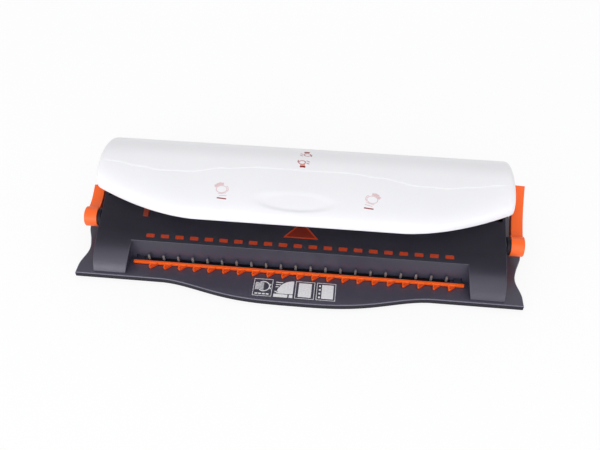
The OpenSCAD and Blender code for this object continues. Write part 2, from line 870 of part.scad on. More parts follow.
// Closed tube of triangles from a list of rings with the same number of points
function tube_faces(rings, sides) = concat(
    [for (i = [0:rings - 2], k = [0:sides - 1]) each [
        [i * sides + k, i * sides + (k + 1) % sides, (i + 1) * sides + (k + 1) % sides],
        [i * sides + k, (i + 1) * sides + (k + 1) % sides, (i + 1) * sides + k]]],
    [for (k = [1:sides - 2]) [0, k + 1, k]],
    [for (k = [1:sides - 2]) [(rings - 1) * sides, (rings - 1) * sides + k, (rings - 1) * sides + k + 1]]);
echo(spring_gap_to_itself = (spring_w1 - spring_w0) / curls - wire_d);

module return_springs() {
    rings = curls * curl_rings + 1;
    color(steel) on_shelf() both_sides() translate([post_x, 0, 0])
        polyhedron([for (i = [0:rings - 1]) each spring_ring(i / curl_rings)],
            tube_faces(rings, ring_sides));
}

bar_end = 3;
bar_half = post_x + spring_room_r + bar_end;
module punch_bar() {
    color(dull_steel) on_shelf() difference() {
        block([-bar_half, -bar_d / 2, bar_w0], [bar_half, bar_d / 2, bar_w1]);
        punch_slots(bar_w0 - past, bar_w0 + pin_seat, press_fit);
        both_sides() translate([post_x, 0, 0]) {
            translate([0, 0, bar_w0 - past]) cylinder(d = post_d + 2 * run_fit, h = bar_h + 2 * past);
            translate([0, 0, bar_w0 - past]) cylinder(r = spring_room_r, h = bar_h - spring_roof + past);
        }
    }
}

module punch_pins() {
    color(steel) on_shelf() for (i = [0:slots - 1]) translate([i * slot_pitch - slot_row, 0, 0])
        block([-punch_w / 2, -punch_t / 2, pin_tip_w + (i % 3) * stagger],
            [punch_w / 2, punch_t / 2, bar_w0 + pin_seat]);
}

// Cover

// How far the rounded ends draw in at a place along X
function draw_in(x, half) = let (d = max(0, abs(x) - half + end_round))
    end_round - sqrt(max(0, end_round * end_round - d * d));
// Front edge of the cover at a place along X
lip_power = 1.75;
function lip_edge(x) = lip_y
    + lip_bow * pow(max(0, abs(x) - lip_flat) / (cover_half - lip_flat), lip_power);
// Section of the cover: over the nose to the crown, then down to the rear
nose_steps = 10;
rear_steps = 8;
end_share = 0.6;
nose_out = 1.5;
nose_rise = 0.55;
nose_reach = 0.4;
nose_ease = 0.05;
brow_reach = 0.34;
brow_up = 0.5;
tail_reach = 0.2;
tail_drop = 0.27;
function cover_section(x, t, below) = let (
        half = cover_half - t,
        d = t + draw_in(x, half),
        front = lip_edge(x) + t + draw_in(x, half) * end_share,
        top = top_z - d,
        rear = cover_rear_y - t - draw_in(x, half) * end_share)
    concat([[front, lip_z - below]],
        curve_points([[front, lip_z], [front - nose_out, lip_z + crown_h * nose_rise - d / 2],
            [front + (crown_y - front) * nose_reach, top - crown_h * nose_ease],
            [crown_y, top]], nose_steps),
        [for (i = [1:rear_steps]) curve([[crown_y, top],
            [crown_y + (rear - crown_y) * brow_reach, top + brow_up],
            [rear - (rear - crown_y) * tail_reach, top - (top - cover_rear_z) * tail_drop],
            [rear, cover_rear_z]], i / rear_steps)],
        [[rear, cover_rear_z - below]]);
section_points = nose_steps + rear_steps + 3;
// Stations along X, closer together at the rounded ends
plain_steps = 22;
end_step = 18;
function stations(half) = let (inner = half - end_round) concat(
    [for (a = [90:-end_step:end_step]) -inner - end_round * sin(a)],
    [for (i = [0:plain_steps]) -inner + 2 * inner * i / plain_steps],
    [for (a = [end_step:end_step:90]) inner + end_round * sin(a)]);

module cover_skin(t, below) {
    xs = stations(cover_half - t);
    points = [for (x = xs) each [for (p = cover_section(x, t, below)) [x, p[0], p[1]]]];
    polyhedron(points, tube_faces(len(xs), section_points));
}

pad_boss_z = pad_z + pad_r;
hinge_screw_x = (hinge_plate_out + cover_half - cover_t) / 2;
hinge_flange_l = 17;
hinge_flange_ahead = 3;
hinge_flange_rear = hinge_y - hinge_flange_ahead;
hinge_flange_front = hinge_flange_rear - hinge_flange_l;
hinge_screw_in = 4;
hinge_screw_y = [hinge_flange_front + hinge_screw_in, hinge_flange_rear - hinge_screw_in];
hinge_screw_l = 3;
pad_boss_rim = 2;
pad_boss_l = pad_l + 2 * pad_boss_rim;
pad_boss_r = pad_r + pad_boss_rim;
module cover() {
    color(white_plastic) {
        difference() {
            cover_skin(0, lip_h);
            cover_skin(cover_t, 2 * lip_h + past);
        }
        // Bosses for the press pads and the hinge brackets, up to the skin
        difference() {
            intersection() {
                cover_skin(cover_t / 2, lip_h);
                union() {
                    for (x = pad_x) block([x - pad_boss_l / 2, pad_y - pad_boss_r, pad_boss_z],
                        [x + pad_boss_l / 2, pad_y + pad_boss_r, top_z]);
                    both_sides() block([hinge_plate_in, hinge_flange_front, hinge_flange_z],
                        [cover_half, hinge_flange_rear, top_z]);
                }
            }
            both_sides() for (y = hinge_screw_y)
                translate([hinge_screw_x, y, hinge_flange_z - eps])
                    cylinder(d = plate_screw_d + 2 * press_fit, h = hinge_screw_l + screw_short);
        }
    }
}

hinge_eye_r = 6.5;
hinge_heel_y = 6;
hinge_heel_z = 3;
module hinge_bracket() {
    color(dull_steel) difference() {
        union() {
            along_x(hinge_plate_in, hinge_plate_out) union() {
                translate([hinge_y, hinge_z]) circle(r = hinge_eye_r);
                polygon([[hinge_y - hinge_eye_r, hinge_z], [hinge_flange_front, hinge_flange_z],
                    [hinge_flange_rear, hinge_flange_z], [hinge_y + hinge_heel_y, hinge_z + hinge_heel_z]]);
            }
            block([hinge_plate_in, hinge_flange_front, hinge_flange_z - frame_t],
                [cover_half - cover_t - side_gap, hinge_flange_rear, hinge_flange_z]);
        }
        rod_x(hinge_plate_in - past, hinge_plate_out + past, hinge_y, hinge_z, hinge_pin_d + 2 * run_fit);
        for (y = hinge_screw_y) translate([hinge_screw_x, y, hinge_flange_z - frame_t - eps])
            cylinder(d = plate_screw_d + 2 * press_fit, h = frame_t + 2 * eps);
    }
}
module left_hinge_bracket() { mirror([1, 0, 0]) hinge_bracket(); }
module right_hinge_bracket() { hinge_bracket(); }

module hinge_screws() {
    color(dull_steel) both_sides() for (y = hinge_screw_y)
        translate([hinge_screw_x, y, hinge_flange_z - frame_t]) {
            cylinder(d = plate_screw_d, h = frame_t + hinge_screw_l);
            translate([0, 0, -plate_head_h]) cylinder(d = plate_head_d, h = plate_head_h);
        }
}

module hinge_pins() {
    color(steel) both_sides() {
        rod_x(frame_in, hinge_plate_out + hinge_side_gap, hinge_y, hinge_z, hinge_pin_d);
        rod_x(frame_in - pin_head_t, frame_in, hinge_y, hinge_z, hinge_pin_d + 2 * pin_head_rim);
    }
}

module press_pads() {
    color(nylon) for (x = pad_x) intersection() {
        union() {
            rod_x(x - pad_l / 2, x + pad_l / 2, pad_y, pad_z, 2 * pad_r);
            block([x - pad_l / 2, pad_y - pad_r, pad_z], [x + pad_l / 2, pad_y + pad_r, pad_boss_z]);
        }
        block([-far, -far, 0], [far, far, pad_boss_z]);
    }
}

// Levers

module lever_shaft() {
    color(steel) difference() {
        rod_x(-shaft_end, shaft_end, shaft_y, shaft_z, shaft_d);
        both_sides() rod_x(shaft_end - lever_screw_l, shaft_end + past, shaft_y, shaft_z,
            lever_screw_d + 2 * press_fit);
    }
}

// Side of a lever's arm, from the hub over its hollow upper face to its cut end
arm_steps = 8;
arm_end_angle = 32;
arm_near = [0.43, 0.23];
arm_away = [0.72, 0.55];
arm_root = [0.41, 0.22];
arm_heel = [0.3, -0.3];
module arm_drawing(back, up) {
    top = [back, up];
    near = [back * arm_near[0], up * arm_near[1]];
    away = [back * arm_away[0], up * arm_away[1]];
    cut = arm_t * [sin(arm_end_angle), -cos(arm_end_angle)];
    over = curve_points([hub_d * arm_root, near, away, top], arm_steps);
    under = curve_points([top + cut, away + cut, near + cut, hub_d * arm_heel], arm_steps);
    polygon(concat(over, under, [[0, 0]]));
}

module lever(back, up) {
    color(orange_plastic) difference() {
        union() {
            rod_x(lever_in, lever_out, shaft_y, shaft_z, hub_d);
            rod_x(collar_in, lever_in + eps, shaft_y, shaft_z, collar_d);
            translate([lever_in + arm_set, shaft_y, shaft_z]) rotate([0, 0, -arm_splay])
                along_x(0, arm_w) arm_drawing(back, up);
        }
        rod_x(collar_in - past, lever_bore_end, shaft_y, shaft_z, shaft_d + 2 * press_fit);
        rod_x(lever_bore_end - eps, lever_out, shaft_y, shaft_z, lever_screw_d + 2 * run_fit);
        rod_x(lever_head_seat, lever_out + arm_w, shaft_y, shaft_z, shaft_d + 2 * run_fit);
    }
}
module left_lever() { mirror([1, 0, 0]) lever(left_arm_back, left_arm_up); }
module right_lever() { lever(arm_back, arm_up); }

module lever_screws() {
    color(dull_steel) both_sides() {
        rod_x(shaft_end - lever_screw_l + screw_short, lever_head_seat, shaft_y, shaft_z, lever_screw_d);
        rod_x(lever_head_seat, lever_out - set_gap, shaft_y, shaft_z, shaft_d - 2 * set_gap);
    }
}

// Gears

// The involute of an angle, in degrees
function involute(a) = tan(a) * 180 / PI - a;
// Half angle of a tooth at a radius
function tooth_half(teeth, r) = let (
        pitch_r = teeth * gear_module / 2,
        base_r = pitch_r * cos(pressure),
        a = acos(min(1, base_r / max(r, base_r))))
    90 / teeth - backlash / 2 / pitch_r * 90 / PI + involute(pressure) - involute(a);
flank_steps = 4;
function gear_outline(teeth) = let (
        root = teeth * gear_module / 2 - dedendum,
        depth = addendum + dedendum)
    [for (i = [0:teeth - 1], side = [-1, 1], k = [0:flank_steps]) let (
        n = side < 0 ? k : flank_steps - k,
        r = root + depth * n / flank_steps,
        a = 360 * i / teeth + side * tooth_half(teeth, r))
        [r * cos(a), r * sin(a)]];

module gear(teeth, bore, turn) {
    difference() {
        union() {
            along_x(gear_in, gear_out) rotate(turn) polygon(gear_outline(teeth));
            rod_x(gear_out - eps, gear_out + gear_hub, 0, 0, bore + 2 * gear_hub_wall);
        }
        rod_x(gear_in - past, gear_out + gear_hub + past, 0, 0, bore);
    }
}
module pinion() {
    color(nylon) translate([0, shaft_y, shaft_z])
        gear(pinion_teeth, shaft_d + 2 * press_fit, mesh_angle);
}
module left_pinion() { mirror([1, 0, 0]) pinion(); }
module right_pinion() { pinion(); }

module idler() {
    color(nylon) translate([0, idler_y, idler_z])
        gear(idler_teeth, idler_pin_d + 2 * run_fit, idler_turn);
}
module left_idler() { mirror([1, 0, 0]) idler(); }
module right_idler() { idler(); }

// Comb slider

// One tooth, steep on its left and rounded at its tip, drawn from the strip's front edge
tip_start = 0.75;
tip_out = 1.05;
tip_end = 0.88;
tip_turn_x = 1.2;
tip_end_x = 2.6;
tip_steps = 6;
module tooth_drawing() {
    translate([tooth_dx, 0]) polygon(concat([[0, eps]],
        curve_points([[0, -tooth_l * tip_start], [0, -tooth_l], [tip_turn_x, -tooth_l * tip_out],
            [tip_end_x, -tooth_l * tip_end]], tip_steps),
        [[tooth_w, eps]]));
}

// Rack teeth on an arm, in section, in step with the idler
module rack_drawing() {
    pitch = PI * gear_module;
    phase = idler_y + idler_r * (idler_turn + 90) * PI / 180 + pitch / 2;
    first = ceil((idler_y - rack_over - phase) / pitch);
    last = floor((rack_y - rack_end - phase) / pitch);
    root = pitch / 4 - backlash / 4 + dedendum * tan(pressure);
    tip = pitch / 4 - backlash / 4 - addendum * tan(pressure);
    for (i = [first:last]) translate([phase + i * pitch, rack_line])
        polygon([[-root, -dedendum - eps], [root, -dedendum - eps], [tip, addendum], [-tip, addendum]]);
}

module comb_slider() {
    color(orange_plastic) {
        block([-strip_half, strip_front, slider_z], [strip_half, strip_rear, slider_top]);
        translate([0, strip_front, slider_z]) linear_extrude(slider_t)
            for (i = [0:slots - 1]) translate([i * slot_pitch - slot_row, 0]) tooth_drawing();
        both_sides() {
            block([arm_in, strip_rear - eps, slider_z], [arm_out, neck_y, slider_z + neck_t]);
            block([arm_in, neck_y - eps, slider_z], [arm_out, rack_y, slider_top]);
            along_x(gear_in + set_gap, gear_out - set_gap) rack_drawing();
        }
    }
}

// Chip tray

grip_h = 8;
grip_wall = 1;
grip_half = 46;
module chip_tray() {
    rear = body_rear_y + tray_face - wall;
    color(dark_plastic) difference() {
        union() {
            block([-tray_half, tray_front, tray_z], [tray_half, rear, tray_z + tray_h]);
            // Finger grip along the rear face
            block([-grip_half, rear - eps, tray_z + tray_h - grip_h],
                [grip_half, rear + grip, tray_z + tray_h]);
        }
        block([-tray_half + tray_wall, tray_front + tray_wall, tray_z + tray_wall],
            [tray_half - tray_wall, rear - tray_face, tray_z + tray_h + past]);
        block([-grip_half + tray_wall, rear + eps, tray_z + tray_h - grip_h - past],
            [grip_half - tray_wall, rear + grip - grip_wall, tray_z + tray_h - tray_wall]);
    }
}

base_plate();
rubber_feet();
base_screws();
body_shell();
left_frame();
right_frame();
frame_screws();
left_gear_bracket();
right_gear_bracket();
bracket_screws();
idler_pins();
shaft_bushes();
tine_plate();
tine_screws();
die_plate();
throat_stop();
edge_stop();
guide_plate();
plate_screws();
guide_posts();
return_springs();
hinge_pins();
cover();
left_hinge_bracket();
right_hinge_bracket();
hinge_screws();
press_pads();
punch_bar();
punch_pins();
lever_shaft();
left_lever();
right_lever();
lever_screws();
left_pinion();
right_pinion();
left_idler();
right_idler();
comb_slider();
chip_tray();
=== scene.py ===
"""Dresses the comb binding machine: finishes, softened mouldings, printed marks and the studio."""

import logging
import math
from contextlib import contextmanager
from dataclasses import dataclass, field
from enum import Enum
from typing import Callable, Iterator, Sequence

import bmesh
import bpy
from mathutils import Matrix, Vector


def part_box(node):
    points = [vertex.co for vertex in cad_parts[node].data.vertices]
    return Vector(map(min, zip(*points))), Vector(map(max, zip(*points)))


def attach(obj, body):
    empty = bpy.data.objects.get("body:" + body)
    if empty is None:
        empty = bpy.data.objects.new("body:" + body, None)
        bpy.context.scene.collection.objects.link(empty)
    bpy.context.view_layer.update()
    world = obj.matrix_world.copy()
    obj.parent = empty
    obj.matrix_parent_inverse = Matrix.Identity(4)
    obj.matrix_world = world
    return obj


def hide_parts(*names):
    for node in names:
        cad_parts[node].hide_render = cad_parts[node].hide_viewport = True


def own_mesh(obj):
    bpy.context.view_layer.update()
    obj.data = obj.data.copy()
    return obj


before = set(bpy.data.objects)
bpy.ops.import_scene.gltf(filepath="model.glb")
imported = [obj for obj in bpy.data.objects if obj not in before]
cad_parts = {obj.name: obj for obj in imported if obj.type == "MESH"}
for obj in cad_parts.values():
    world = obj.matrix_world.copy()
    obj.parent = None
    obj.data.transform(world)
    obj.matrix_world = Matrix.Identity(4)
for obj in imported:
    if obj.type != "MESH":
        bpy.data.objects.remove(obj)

LOG = logging.getLogger("comb_binder")
MM = 0.001
WHITE = (1.0, 1.0, 1.0)
FACES_UP = 0.9
COMB_RINGS = 21
COMB_PITCH = 14.2875
DECK_Z = 7.0
PRINT_PROUD = 0.03
FLAT_WEIGHT = 80

Colour = tuple[float, float, float]
Place = tuple[float, float, float]
Point = tuple[float, float]
Path = Sequence[Point]
Piece = bpy.types.Object
Finish = bpy.types.Material
Socket = bpy.types.NodeSocket
Edge = bmesh.types.BMEdge
Face = bmesh.types.BMFace


class Body(Enum):
    """The rigid bodies that pieces ride on."""

    CHASSIS = "chassis"
    COVER = "cover"
    LEVERS = "levers"
    SLIDE = "comb_slide"


class Slot(Enum):
    """The material slots that are named for new pieces."""

    DARK = "dark_plastic"
    WHITE = "white_plastic"
    ORANGE = "orange_plastic"
    BRIGHT = "bright_steel"


class Part(Enum):
    """The parts of a mesh that can be selected."""

    EDGE = "EDGE"
    FACE = "FACE"


# Finishes


class NodeSheet:
    """A node tree with short ways to fill it."""

    def __init__(self, tree: bpy.types.NodeTree) -> None:
        """Takes the tree."""
        self.tree = tree

    def plug(self, socket: Socket, value: object) -> None:
        """Links an input or sets its value.

        Args:
            socket: the input.
            value: an output socket, a value, a colour without alpha, or None to leave it.
        """
        if isinstance(value, Socket):
            self.tree.links.new(value, socket)
        elif value is not None:
            socket.default_value = (*value, 1.0) if socket.type == "RGBA" else value

    def add(self, kind: str, *placed: object, **named: object) -> bpy.types.Node:
        """Adds a node.

        Args:
            kind: the node's type name after ShaderNode.
            placed: what goes into its first inputs.
            named: what goes into its named inputs, with _ for a space; lower case names a setting.

        Returns:
            The new node.
        """
        node = self.tree.nodes.new(f"ShaderNode{kind}")
        for socket, value in zip(node.inputs, placed):
            self.plug(socket, value)
        for name, value in named.items():
            if name.islower():
                setattr(node, name, value)
            else:
                self.plug(node.inputs[name.replace("_", " ")], value)
        return node

    def maths(self, kind: str, first: object, second: object) -> Socket:
        """Gives the result of a Math node on two values or sockets."""
        return self.add("Math", first, second, operation=kind).outputs[0]

    def ranged(self, value: Socket, low: float, high: float, start: float = 0.3,
               end: float = 0.7) -> Socket:
        """Maps a value that spreads from start to end onto the range from low to high."""
        return self.add("MapRange", Value=value, From_Min=start, From_Max=end, To_Min=low,
                        To_Max=high).outputs["Result"]

    def by_ray(self, camera: float, mirrored: float) -> Socket:
        """Gives a value that depends on the kind of ray.

        Args:
            camera: value for camera rays.
            mirrored: value for glossy and transmission rays.

        Returns:
            The value, which is 0 for the other rays.
        """
        path = self.add("LightPath").outputs
        total = self.maths("MULTIPLY", path["Is Camera Ray"], camera)
        for kind in ("Is Glossy Ray", "Is Transmission Ray"):
            total = self.maths("MAXIMUM", total, self.maths("MULTIPLY", path[kind], mirrored))
        return total

    def close(self, output: str, share: Socket, first: bpy.types.Node,
              second: bpy.types.Node) -> None:
        """Mixes two shaders by a share and wires them to the tree's output."""
        mix = self.add("MixShader", share, first.outputs[0], second.outputs[0])
        self.add(output, mix.outputs[0])


def tinted(colour: Colour, share: float) -> Colour:
    """Gives a colour made lighter or darker by a share of itself."""
    return tuple(min(1.0, part * (1.0 + share)) for part in colour)


class ShaderSheet(NodeSheet):
    """A new material round one Principled shader."""

    mix_unused = 5
    mix_result = 2
    edge_samples = 4

    def __init__(self, name: str) -> None:
        """Starts the material.

        Args:
            name: the material's name.
        """
        self.material = bpy.data.materials.new(name)
        self.material.use_nodes = True
        super().__init__(self.material.node_tree)
        self.shader = self.tree.nodes["Principled BSDF"]
        self.place = self.add("TexCoord").outputs["Object"]

    def height(self) -> Socket:
        """Gives the height of each point in metres."""
        return self.add("SeparateXYZ", self.place).outputs["Z"]

    def noise(self, scale: float, detail: float, stretch: Place = (1.0, 1.0, 1.0)) -> Socket:
        """Gives a noise of about 0.5, by waves per metre, octaves and a stretch of the axes."""
        place = self.add("Mapping", Vector=self.place, Scale=stretch).outputs["Vector"]
        return self.add("TexNoise", Vector=place, Scale=scale, Detail=detail).outputs["Fac"]

    def clouds(self, scale: float, detail: float) -> Socket:
        """Gives a noise that spreads from 0 to 1."""
        return self.ranged(self.noise(scale, detail), 0.0, 1.0)

    def mixed(self, share: Socket, first: Colour | Socket, second: Colour | Socket) -> Socket:
        """Mixes two colours, by a share from 0 for the first to 1 for the second."""
        colours = (*[None] * self.mix_unused, first, second)
        return self.add("Mix", share, *colours, data_type="RGBA").outputs[self.mix_result]

    def varied(self, share: Socket, colour: Colour, spread: Point) -> Socket:
        """Lets a colour vary between two shares of itself."""
        return self.mixed(share, *(tinted(colour, end) for end in spread))

    def edges(self, radius: float) -> tuple[Socket, Socket]:
        """Rounds the shading at edges.

        Args:
            radius: rounding in metres.

        Returns:
            The rounded normal, and a value that is 1 on flat faces and falls at edges.
        """
        rounded = self.add("Bevel", Radius=radius, samples=self.edge_samples).outputs["Normal"]
        flat = self.add("NewGeometry").outputs["Normal"]
        dot = self.add("VectorMath", rounded, flat, operation="DOT_PRODUCT")
        return rounded, dot.outputs["Value"]

    def bump(self, height: Socket, strength: float, depth: float,
             normal: Socket | None = None) -> Socket:
        """Gives the normal of a relief, its depth in metres, on a normal or the plain surface."""
        return self.add("Bump", Height=height, Strength=strength, Distance=depth,
                        Normal=normal).outputs["Normal"]

    def wire(self, **inputs: object) -> Finish:
        """Fills the shader's named inputs.

        Args:
            inputs: what goes into each, with _ for a space.

        Returns:
            The material.
        """
        for name, value in inputs.items():
            self.plug(self.shader.inputs[name.replace("_", " ")], value)
        return self.material


@dataclass(frozen=True)
class MouldedPlastic:
    """Injection-moulded plastic with a fine texture, slight clouding, and edges lightened partly as
    wear and partly as a painted highlight.
    """

    name: str
    colour: Colour
    roughness: float = 0.4
    clouding: float = 0.06
    cloud: Point = (18.0, 4.0)
    touch: Point = (55.0, 5.0)
    touch_spread: Point = (-0.05, 0.06)
    grain: Point = (1500.0, 2.0)
    grain_bump: Point = (0.25, 0.00003)
    edge_radius: float = 0.0006
    edge_wear_and_highlight: float = 0.12
    edge_range: Point = (0.90, 0.995)
    gloss: float = 0.5
    sheen: Colour = WHITE
    shade_with_height: float = 0.0
    shade_height_range: Point = (0.018, 0.032)

    def material(self) -> Finish:
        """Builds the material.

        Returns:
            The material, which is painted darker with height, as shade, where a fade is asked for.
        """
        sheet = ShaderSheet(self.name)
        normal, flat = sheet.edges(self.edge_radius)
        cloud, spread = sheet.clouds(*self.cloud), (-self.clouding, self.clouding)
        colour = sheet.varied(cloud, self.colour, spread)
        # painted shade: the colour darkens with height, standing in for the shade that the cover
        # casts on the shelf and the block tops
        if self.shade_with_height:
            up = sheet.ranged(sheet.height(), 0.0, 1.0, *self.shade_height_range)
            shaded_upper = sheet.varied(cloud, tinted(self.colour, self.shade_with_height), spread)
            colour = sheet.mixed(up, colour, shaded_upper)
        # painted highlight, partly wear: the colour is lightened at edges, where the rounded normal
        # leaves the flat one
        worn_and_lit_edge = sheet.ranged(flat, 1.0, 0.0, *self.edge_range)
        colour = sheet.mixed(worn_and_lit_edge, colour, tinted(self.colour, self.edge_wear_and_highlight))
        rough = sheet.ranged(sheet.noise(*self.touch),
                             *(self.roughness + end for end in self.touch_spread))
        return sheet.wire(Base_Color=colour, Roughness=rough, Specular_IOR_Level=self.gloss,
                          Specular_Tint=self.sheen,
                          Normal=sheet.bump(sheet.noise(*self.grain), *self.grain_bump, normal))


@dataclass(frozen=True)
class GroundSteel:
    """Bright steel with fine grinding lines along one direction."""

    name: str
    colour: Colour
    roughness: float = 0.24
    grind: Point = (1.0, 3.0)
    lines: Place = (60.0, 4000.0, 4000.0)
    metal: float = 1.0
    shade_below: float = 0.0
    shade_fade: float = 0.0003
    shade_share: float = -0.95
    edge_radius: float = 0.0002
    stain: Point = (90.0, 5.0)
    stain_spread: Point = (-0.1, 0.08)
    line_spread: Point = (-0.07, 0.12)
    line_bump: Point = (0.2, 0.00001)

    def material(self) -> Finish:
        """Builds the material.

        Returns:
            The material, painted dark below a height, as shade, where one is given.
        """
        sheet = ShaderSheet(self.name)
        scratch = sheet.noise(*self.grind, self.lines)
        colour = sheet.varied(sheet.clouds(*self.stain), self.colour, self.stain_spread)
        # painted shade: the steel is darkened below a height, for the foot that sits in shade
        # behind the slider strip
        if self.shade_below > 0.0:
            shaded_foot = sheet.ranged(sheet.height(), 1.0, 0.0, self.shade_below - self.shade_fade,
                                 self.shade_below)
            colour = sheet.mixed(shaded_foot, colour, tinted(self.colour, self.shade_share))
        rough = sheet.ranged(scratch, *(self.roughness + end for end in self.line_spread))
        normal, _ = sheet.edges(self.edge_radius)
        return sheet.wire(Base_Color=colour, Roughness=rough, Metallic=self.metal,
                          Normal=sheet.bump(scratch, *self.line_bump, normal))


@dataclass(frozen=True)
class ZincPlate:
    """Zinc-plated sheet and screws with a cloudy, slightly warm bloom."""

    name: str
    colour: Colour
    roughness: float = 0.4
    edge_radius: float = 0.0003
    spangle_scale: float = 220.0
    spangle_range: Point = (0.1, 0.8)
    spangle_spread: Point = (-0.08, 0.1)
    spangle_bump: Point = (0.12, 0.00002)
    bloom: Point = (40.0, 4.0)
    bloom_spread: Point = (-0.12, 0.1)

    def material(self) -> Finish:
        """Builds the material.

        Returns:
            The material.
        """
        sheet = ShaderSheet(self.name)
        spangle = sheet.add("TexVoronoi", Vector=sheet.place,
                            Scale=self.spangle_scale).outputs["Distance"]
        colour = sheet.varied(sheet.clouds(*self.bloom), self.colour, self.bloom_spread)
        rough = sheet.ranged(spangle, *(self.roughness + end for end in self.spangle_spread),
                             *self.spangle_range)
        normal, _ = sheet.edges(self.edge_radius)
        return sheet.wire(Base_Color=colour, Roughness=rough, Metallic=1.0,
                          Normal=sheet.bump(spangle, *self.spangle_bump, normal))


@dataclass(frozen=True)
class SoftRubber:
    """Matt rubber with a dusty bloom and fine pores."""

    name: str
    colour: Colour
    roughness: Point = (0.78, 0.92)
    edge_radius: float = 0.0006
    dust: Point = (120.0, 6.0)
    dust_range: Point = (0.4, 0.75)
    dust_share: float = 0.8
    pores: Point = (2200.0, 2.0)
    pore_bump: Point = (0.3, 0.00004)

    def material(self) -> Finish:
        """Builds the material.

        Returns:
            The material.
        """
        sheet = ShaderSheet(self.name)
        dust = sheet.ranged(sheet.noise(*self.dust), 0.0, 1.0, *self.dust_range)
        normal, _ = sheet.edges(self.edge_radius)
        return sheet.wire(
            Base_Color=sheet.mixed(dust, self.colour, tinted(self.colour, self.dust_share)),
            Roughness=sheet.ranged(dust, *self.roughness, 0.0, 1.0),
            Normal=sheet.bump(sheet.noise(*self.pores), *self.pore_bump, normal))


@dataclass(frozen=True)
class PrintedInk:
    """Screen-printed ink, thin and a little uneven."""

    name: str
    colour: Colour
    roughness: Point = (0.45, 0.58)
    uneven: Point = (-0.1, 0.1)
    gloss: float = 0.25
    cover: Point = (700.0, 4.0)
    film: Point = (2500.0, 2.0)
    film_bump: Point = (0.15, 0.00001)

    def material(self) -> Finish:
        """Builds the material.

        Returns:
            The material.
        """
        sheet = ShaderSheet(self.name)
        cover = sheet.clouds(*self.cover)
        return sheet.wire(Base_Color=sheet.varied(cover, self.colour, self.uneven),
                          Specular_IOR_Level=self.gloss,
                          Roughness=sheet.ranged(cover, *self.roughness, 0.0, 1.0),
                          Normal=sheet.bump(sheet.noise(*self.film), *self.film_bump))


class Palette:
    """Every finish of the machine, built once."""

    def __init__(self) -> None:
        """Builds the materials."""
        # painted shade: the body is painted darker higher up, where the cover shades the shelf
        self.anthracite = self.grey("anthracite_plastic", (0.040, 0.0371, 0.059), 0.34, 0.85, -0.56)
        # painted light: the deck takes a lighter copy of the body's grey, standing in for the light
        # that falls on it
        self.lit_deck_grey = self.grey("lit_deck_plastic", (0.054, 0.0502, 0.077), 0.36, 0.85)
        # painted highlight: a lighter grey for the rounded top edge of the base
        self.highlight_grey = self.grey("highlight_plastic", (0.125, 0.118, 0.160), 0.32, 0.9)
        # painted shade: a near-black grey for the base's side walls and the lever collars
        self.shade_grey = self.grey("shade_plastic", (0.015, 0.0138, 0.021), 0.5, 0.3)
        self.white = MouldedPlastic("white_plastic", (0.79, 0.79, 0.82), 0.36, 0.012,
                                    edge_wear_and_highlight=0.02, grain=(900.0, 2.0),
                                    grain_bump=(0.12, 0.00003)).material()
        self.orange = MouldedPlastic("orange_plastic", (1.0, 0.132, 0.012), 0.36, 0.03,
                                     edge_wear_and_highlight=0.25, edge_radius=0.0007).material()
        self.slider_orange = MouldedPlastic("slider_orange", (1.0, 0.118, 0.009), 0.34, 0.05,
                                            gloss=0.36, edge_wear_and_highlight=0.5,
                                            edge_radius=0.0004).material()
        # painted shade: a darker copy of the slider's orange for its pockets and slanted faces
        self.shade_orange = MouldedPlastic("shade_orange", (0.78, 0.066, 0.005), 0.5, 0.08,
                                            gloss=0.3).material()
        # painted shade: the edge stop is orange plastic, painted dark red as if in shade
        self.shaded_stop_red = MouldedPlastic("shaded_stop_red", (0.22, 0.030, 0.014), 0.45).material()
        self.nylon = MouldedPlastic("natural_nylon", (0.72, 0.70, 0.62), 0.45, 0.03).material()
        self.bright = GroundSteel("bright_steel", (0.72, 0.72, 0.74)).material()
        # painted shade on the tine plate's foot, below 8.8 mm
        self.tine_steel = GroundSteel("tine_steel", (0.34, 0.33, 0.33), 0.40, metal=0.65,
                                      lines=(4000.0, 4000.0, 60.0), shade_below=0.0088).material()
        self.zinc = ZincPlate("zinc_plate", (0.62, 0.62, 0.60)).material()
        self.rubber = SoftRubber("foot_rubber", (0.022, 0.022, 0.024)).material()
        self.red_ink = PrintedInk("red_ink", (0.37, 0.035, 0.008)).material()
        self.dark_red_ink = PrintedInk("dark_red_ink", (0.145, 0.013, 0.006)).material()
        self.pale_ink = PrintedInk("pale_ink", (0.66, 0.49, 0.51)).material()
        self.bar_ink = PrintedInk("bar_ink", (0.29, 0.075, 0.08)).material()
        self.sign_ink = PrintedInk("sign_ink", (0.46, 0.20, 0.205)).material()
        self.rose_ink = PrintedInk("rose_ink", (0.74, 0.33, 0.28)).material()
        self.deep_ink = PrintedInk("deep_ink", (0.22, 0.016, 0.013)).material()
        self.grey_ink = PrintedInk("grey_ink", (0.74, 0.74, 0.77)).material()

    @staticmethod
    def grey(name: str, colour: Colour, roughness: float, gloss: float,
             fade: float = 0.0) -> Finish:
        """Builds one of the housing's dark plastics, with painted highlights on its edges and
        painted shade higher up where a fade is given.
        """
        return MouldedPlastic(name, colour, roughness, edge_radius=0.0009, edge_wear_and_highlight=1.0,
                              gloss=gloss, sheen=(0.94, 0.93, 1.0), shade_with_height=fade).material()


# Modelling


def put_down() -> None:
    """Leaves edit mode and deselects everything."""
    if bpy.context.object is not None and bpy.context.object.mode != "OBJECT":
        bpy.ops.object.mode_set(mode="OBJECT")
    bpy.ops.object.select_all(action="DESELECT")


def take(obj: Piece) -> None:
    """Makes one object the only selected and the active one.

    Args:
        obj: the object.
    """
    put_down()
    obj.select_set(True)
    bpy.context.view_layer.objects.active = obj


